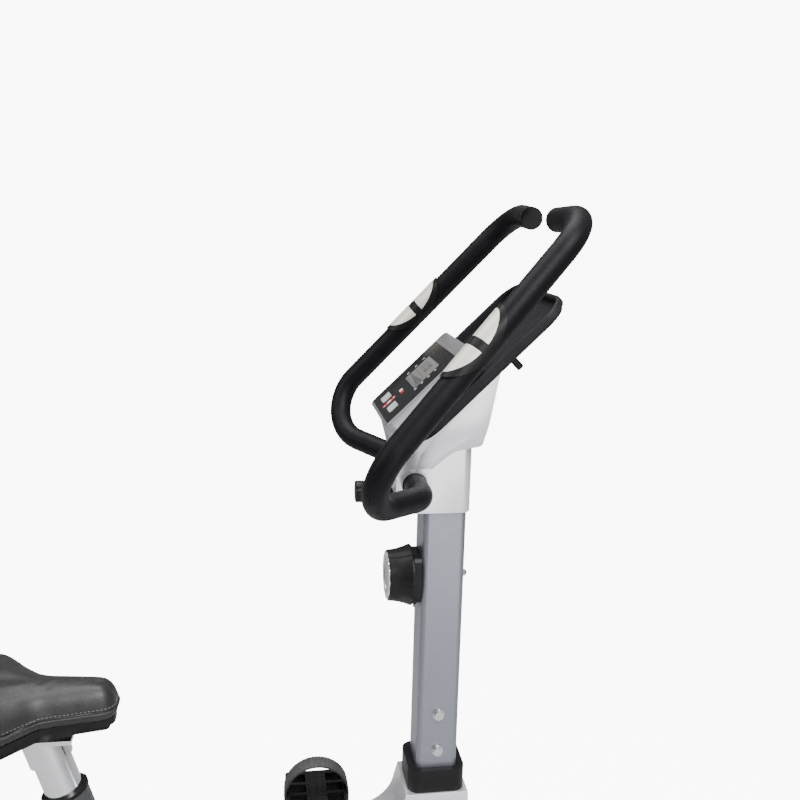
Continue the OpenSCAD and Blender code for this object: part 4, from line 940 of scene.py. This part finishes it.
# %% [markdown]
# ## Small fittings
# A trim ring closes each cover round the crank. A small screw head stands on the front of the mast, and a
# pin hangs under the tension knob's bezel. None of them is in the CAD model.

# %% Trim rings round the crank
def ring_y(name, centre, y, out, profile, finish, body, steps=96):
    """A ring turned about an axis across the bike, from (radius, height) points that close on themselves."""
    bm = bmesh.new()
    rings = [[bm.verts.new((centre.x + r * math.cos(t), y + out * h, centre.z + r * math.sin(t)))
              for t in np.linspace(0, 2 * math.pi, steps, endpoint=False)] for r, h in profile]
    for k in range(len(rings)):
        p, q = rings[k - 1], rings[k]
        for i in range(steps):
            j = (i + 1) % steps
            bm.faces.new((p[i], p[j], q[j], q[i]))
    bmesh.ops.recalc_face_normals(bm, faces=bm.faces)
    for f in bm.faces:
        f.smooth = True
    for e in bm.edges:
        e.smooth = e.calc_face_angle(0) < math.radians(32)
    mesh = bpy.data.meshes.new(name)
    bm.to_mesh(mesh)
    bm.free()
    o = new_object(name, mesh, materials[finish])
    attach(o, body)
    print(name, "has", len(mesh.polygons), "faces")

def hole_radius(node):
    """The radius of the crank's hole in a cover, from the vertices nearest the axis."""
    points = [v.co for v in nodes[node].data.vertices if abs(v.co.y) > half_width - 0.001]
    return min((p.xz - crank.xz).length for p in points)

for side, out in (("left", 1), ("right", -1)):
    r = hole_radius("cover_" + side)
    ring_y("crank_trim_" + side, crank, out * half_width, out,
           [(r + 0.001, 0.0), (r + 0.001, 0.0018), (r + 0.003, 0.0030), (r + 0.014, 0.0034),
            (r + 0.024, 0.0026), (r + 0.0265, 0.0008), (r + 0.0265, 0.0)],
           "black_plastic", "frame")

# %% Small fittings on the mast
def dome(name, place, axis, radius, high, finish, body):
    """A small domed head that stands on a face."""
    bm = bmesh.new()
    rings = []
    axis = Vector(axis)
    side = axis.orthogonal().normalized()
    other = axis.cross(side)
    for r, h in ((1.0, -0.15), (1.0, 0.18), (0.92, 0.5), (0.72, 0.80), (0.42, 0.96), (0.18, 1.0)):
        rings.append([bm.verts.new(Vector(place) + axis * high * h + (side * math.cos(t)
                      + other * math.sin(t)) * radius * r)
                      for t in np.linspace(0, 2 * math.pi, 32, endpoint=False)])
    for p, q in zip(rings, rings[1:]):
        for i in range(32):
            j = (i + 1) % 32
            bm.faces.new((p[i], p[j], q[j], q[i]))
    bm.faces.new(rings[-1])
    bm.faces.new(rings[0][::-1])
    bmesh.ops.recalc_face_normals(bm, faces=bm.faces)
    for f in bm.faces:
        f.smooth = True
    mesh = bpy.data.meshes.new(name)
    bm.to_mesh(mesh)
    bm.free()
    o = new_object(name, mesh, materials[finish])
    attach(o, body)
    print(name, "stands at", [round(c, 3) for c in place])
    return o

mast_front = max(v.co.x for v in nodes["mast"].data.vertices if v.co.z < 0.75)
dome("mast_screw", (mast_front, 0, knob_yz[1]), (1, 0, 0), 0.0055, 0.0100, "steel", "frame")
housing_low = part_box("tension_housing")[0]
dome("bezel_pin", (skirt_end + 0.006, 0, housing_low.z), (0, 0, -1), 0.0014, 0.006, "black_plastic",
     "frame")

# %% [markdown]
# ## The end

# %% End
print("done")
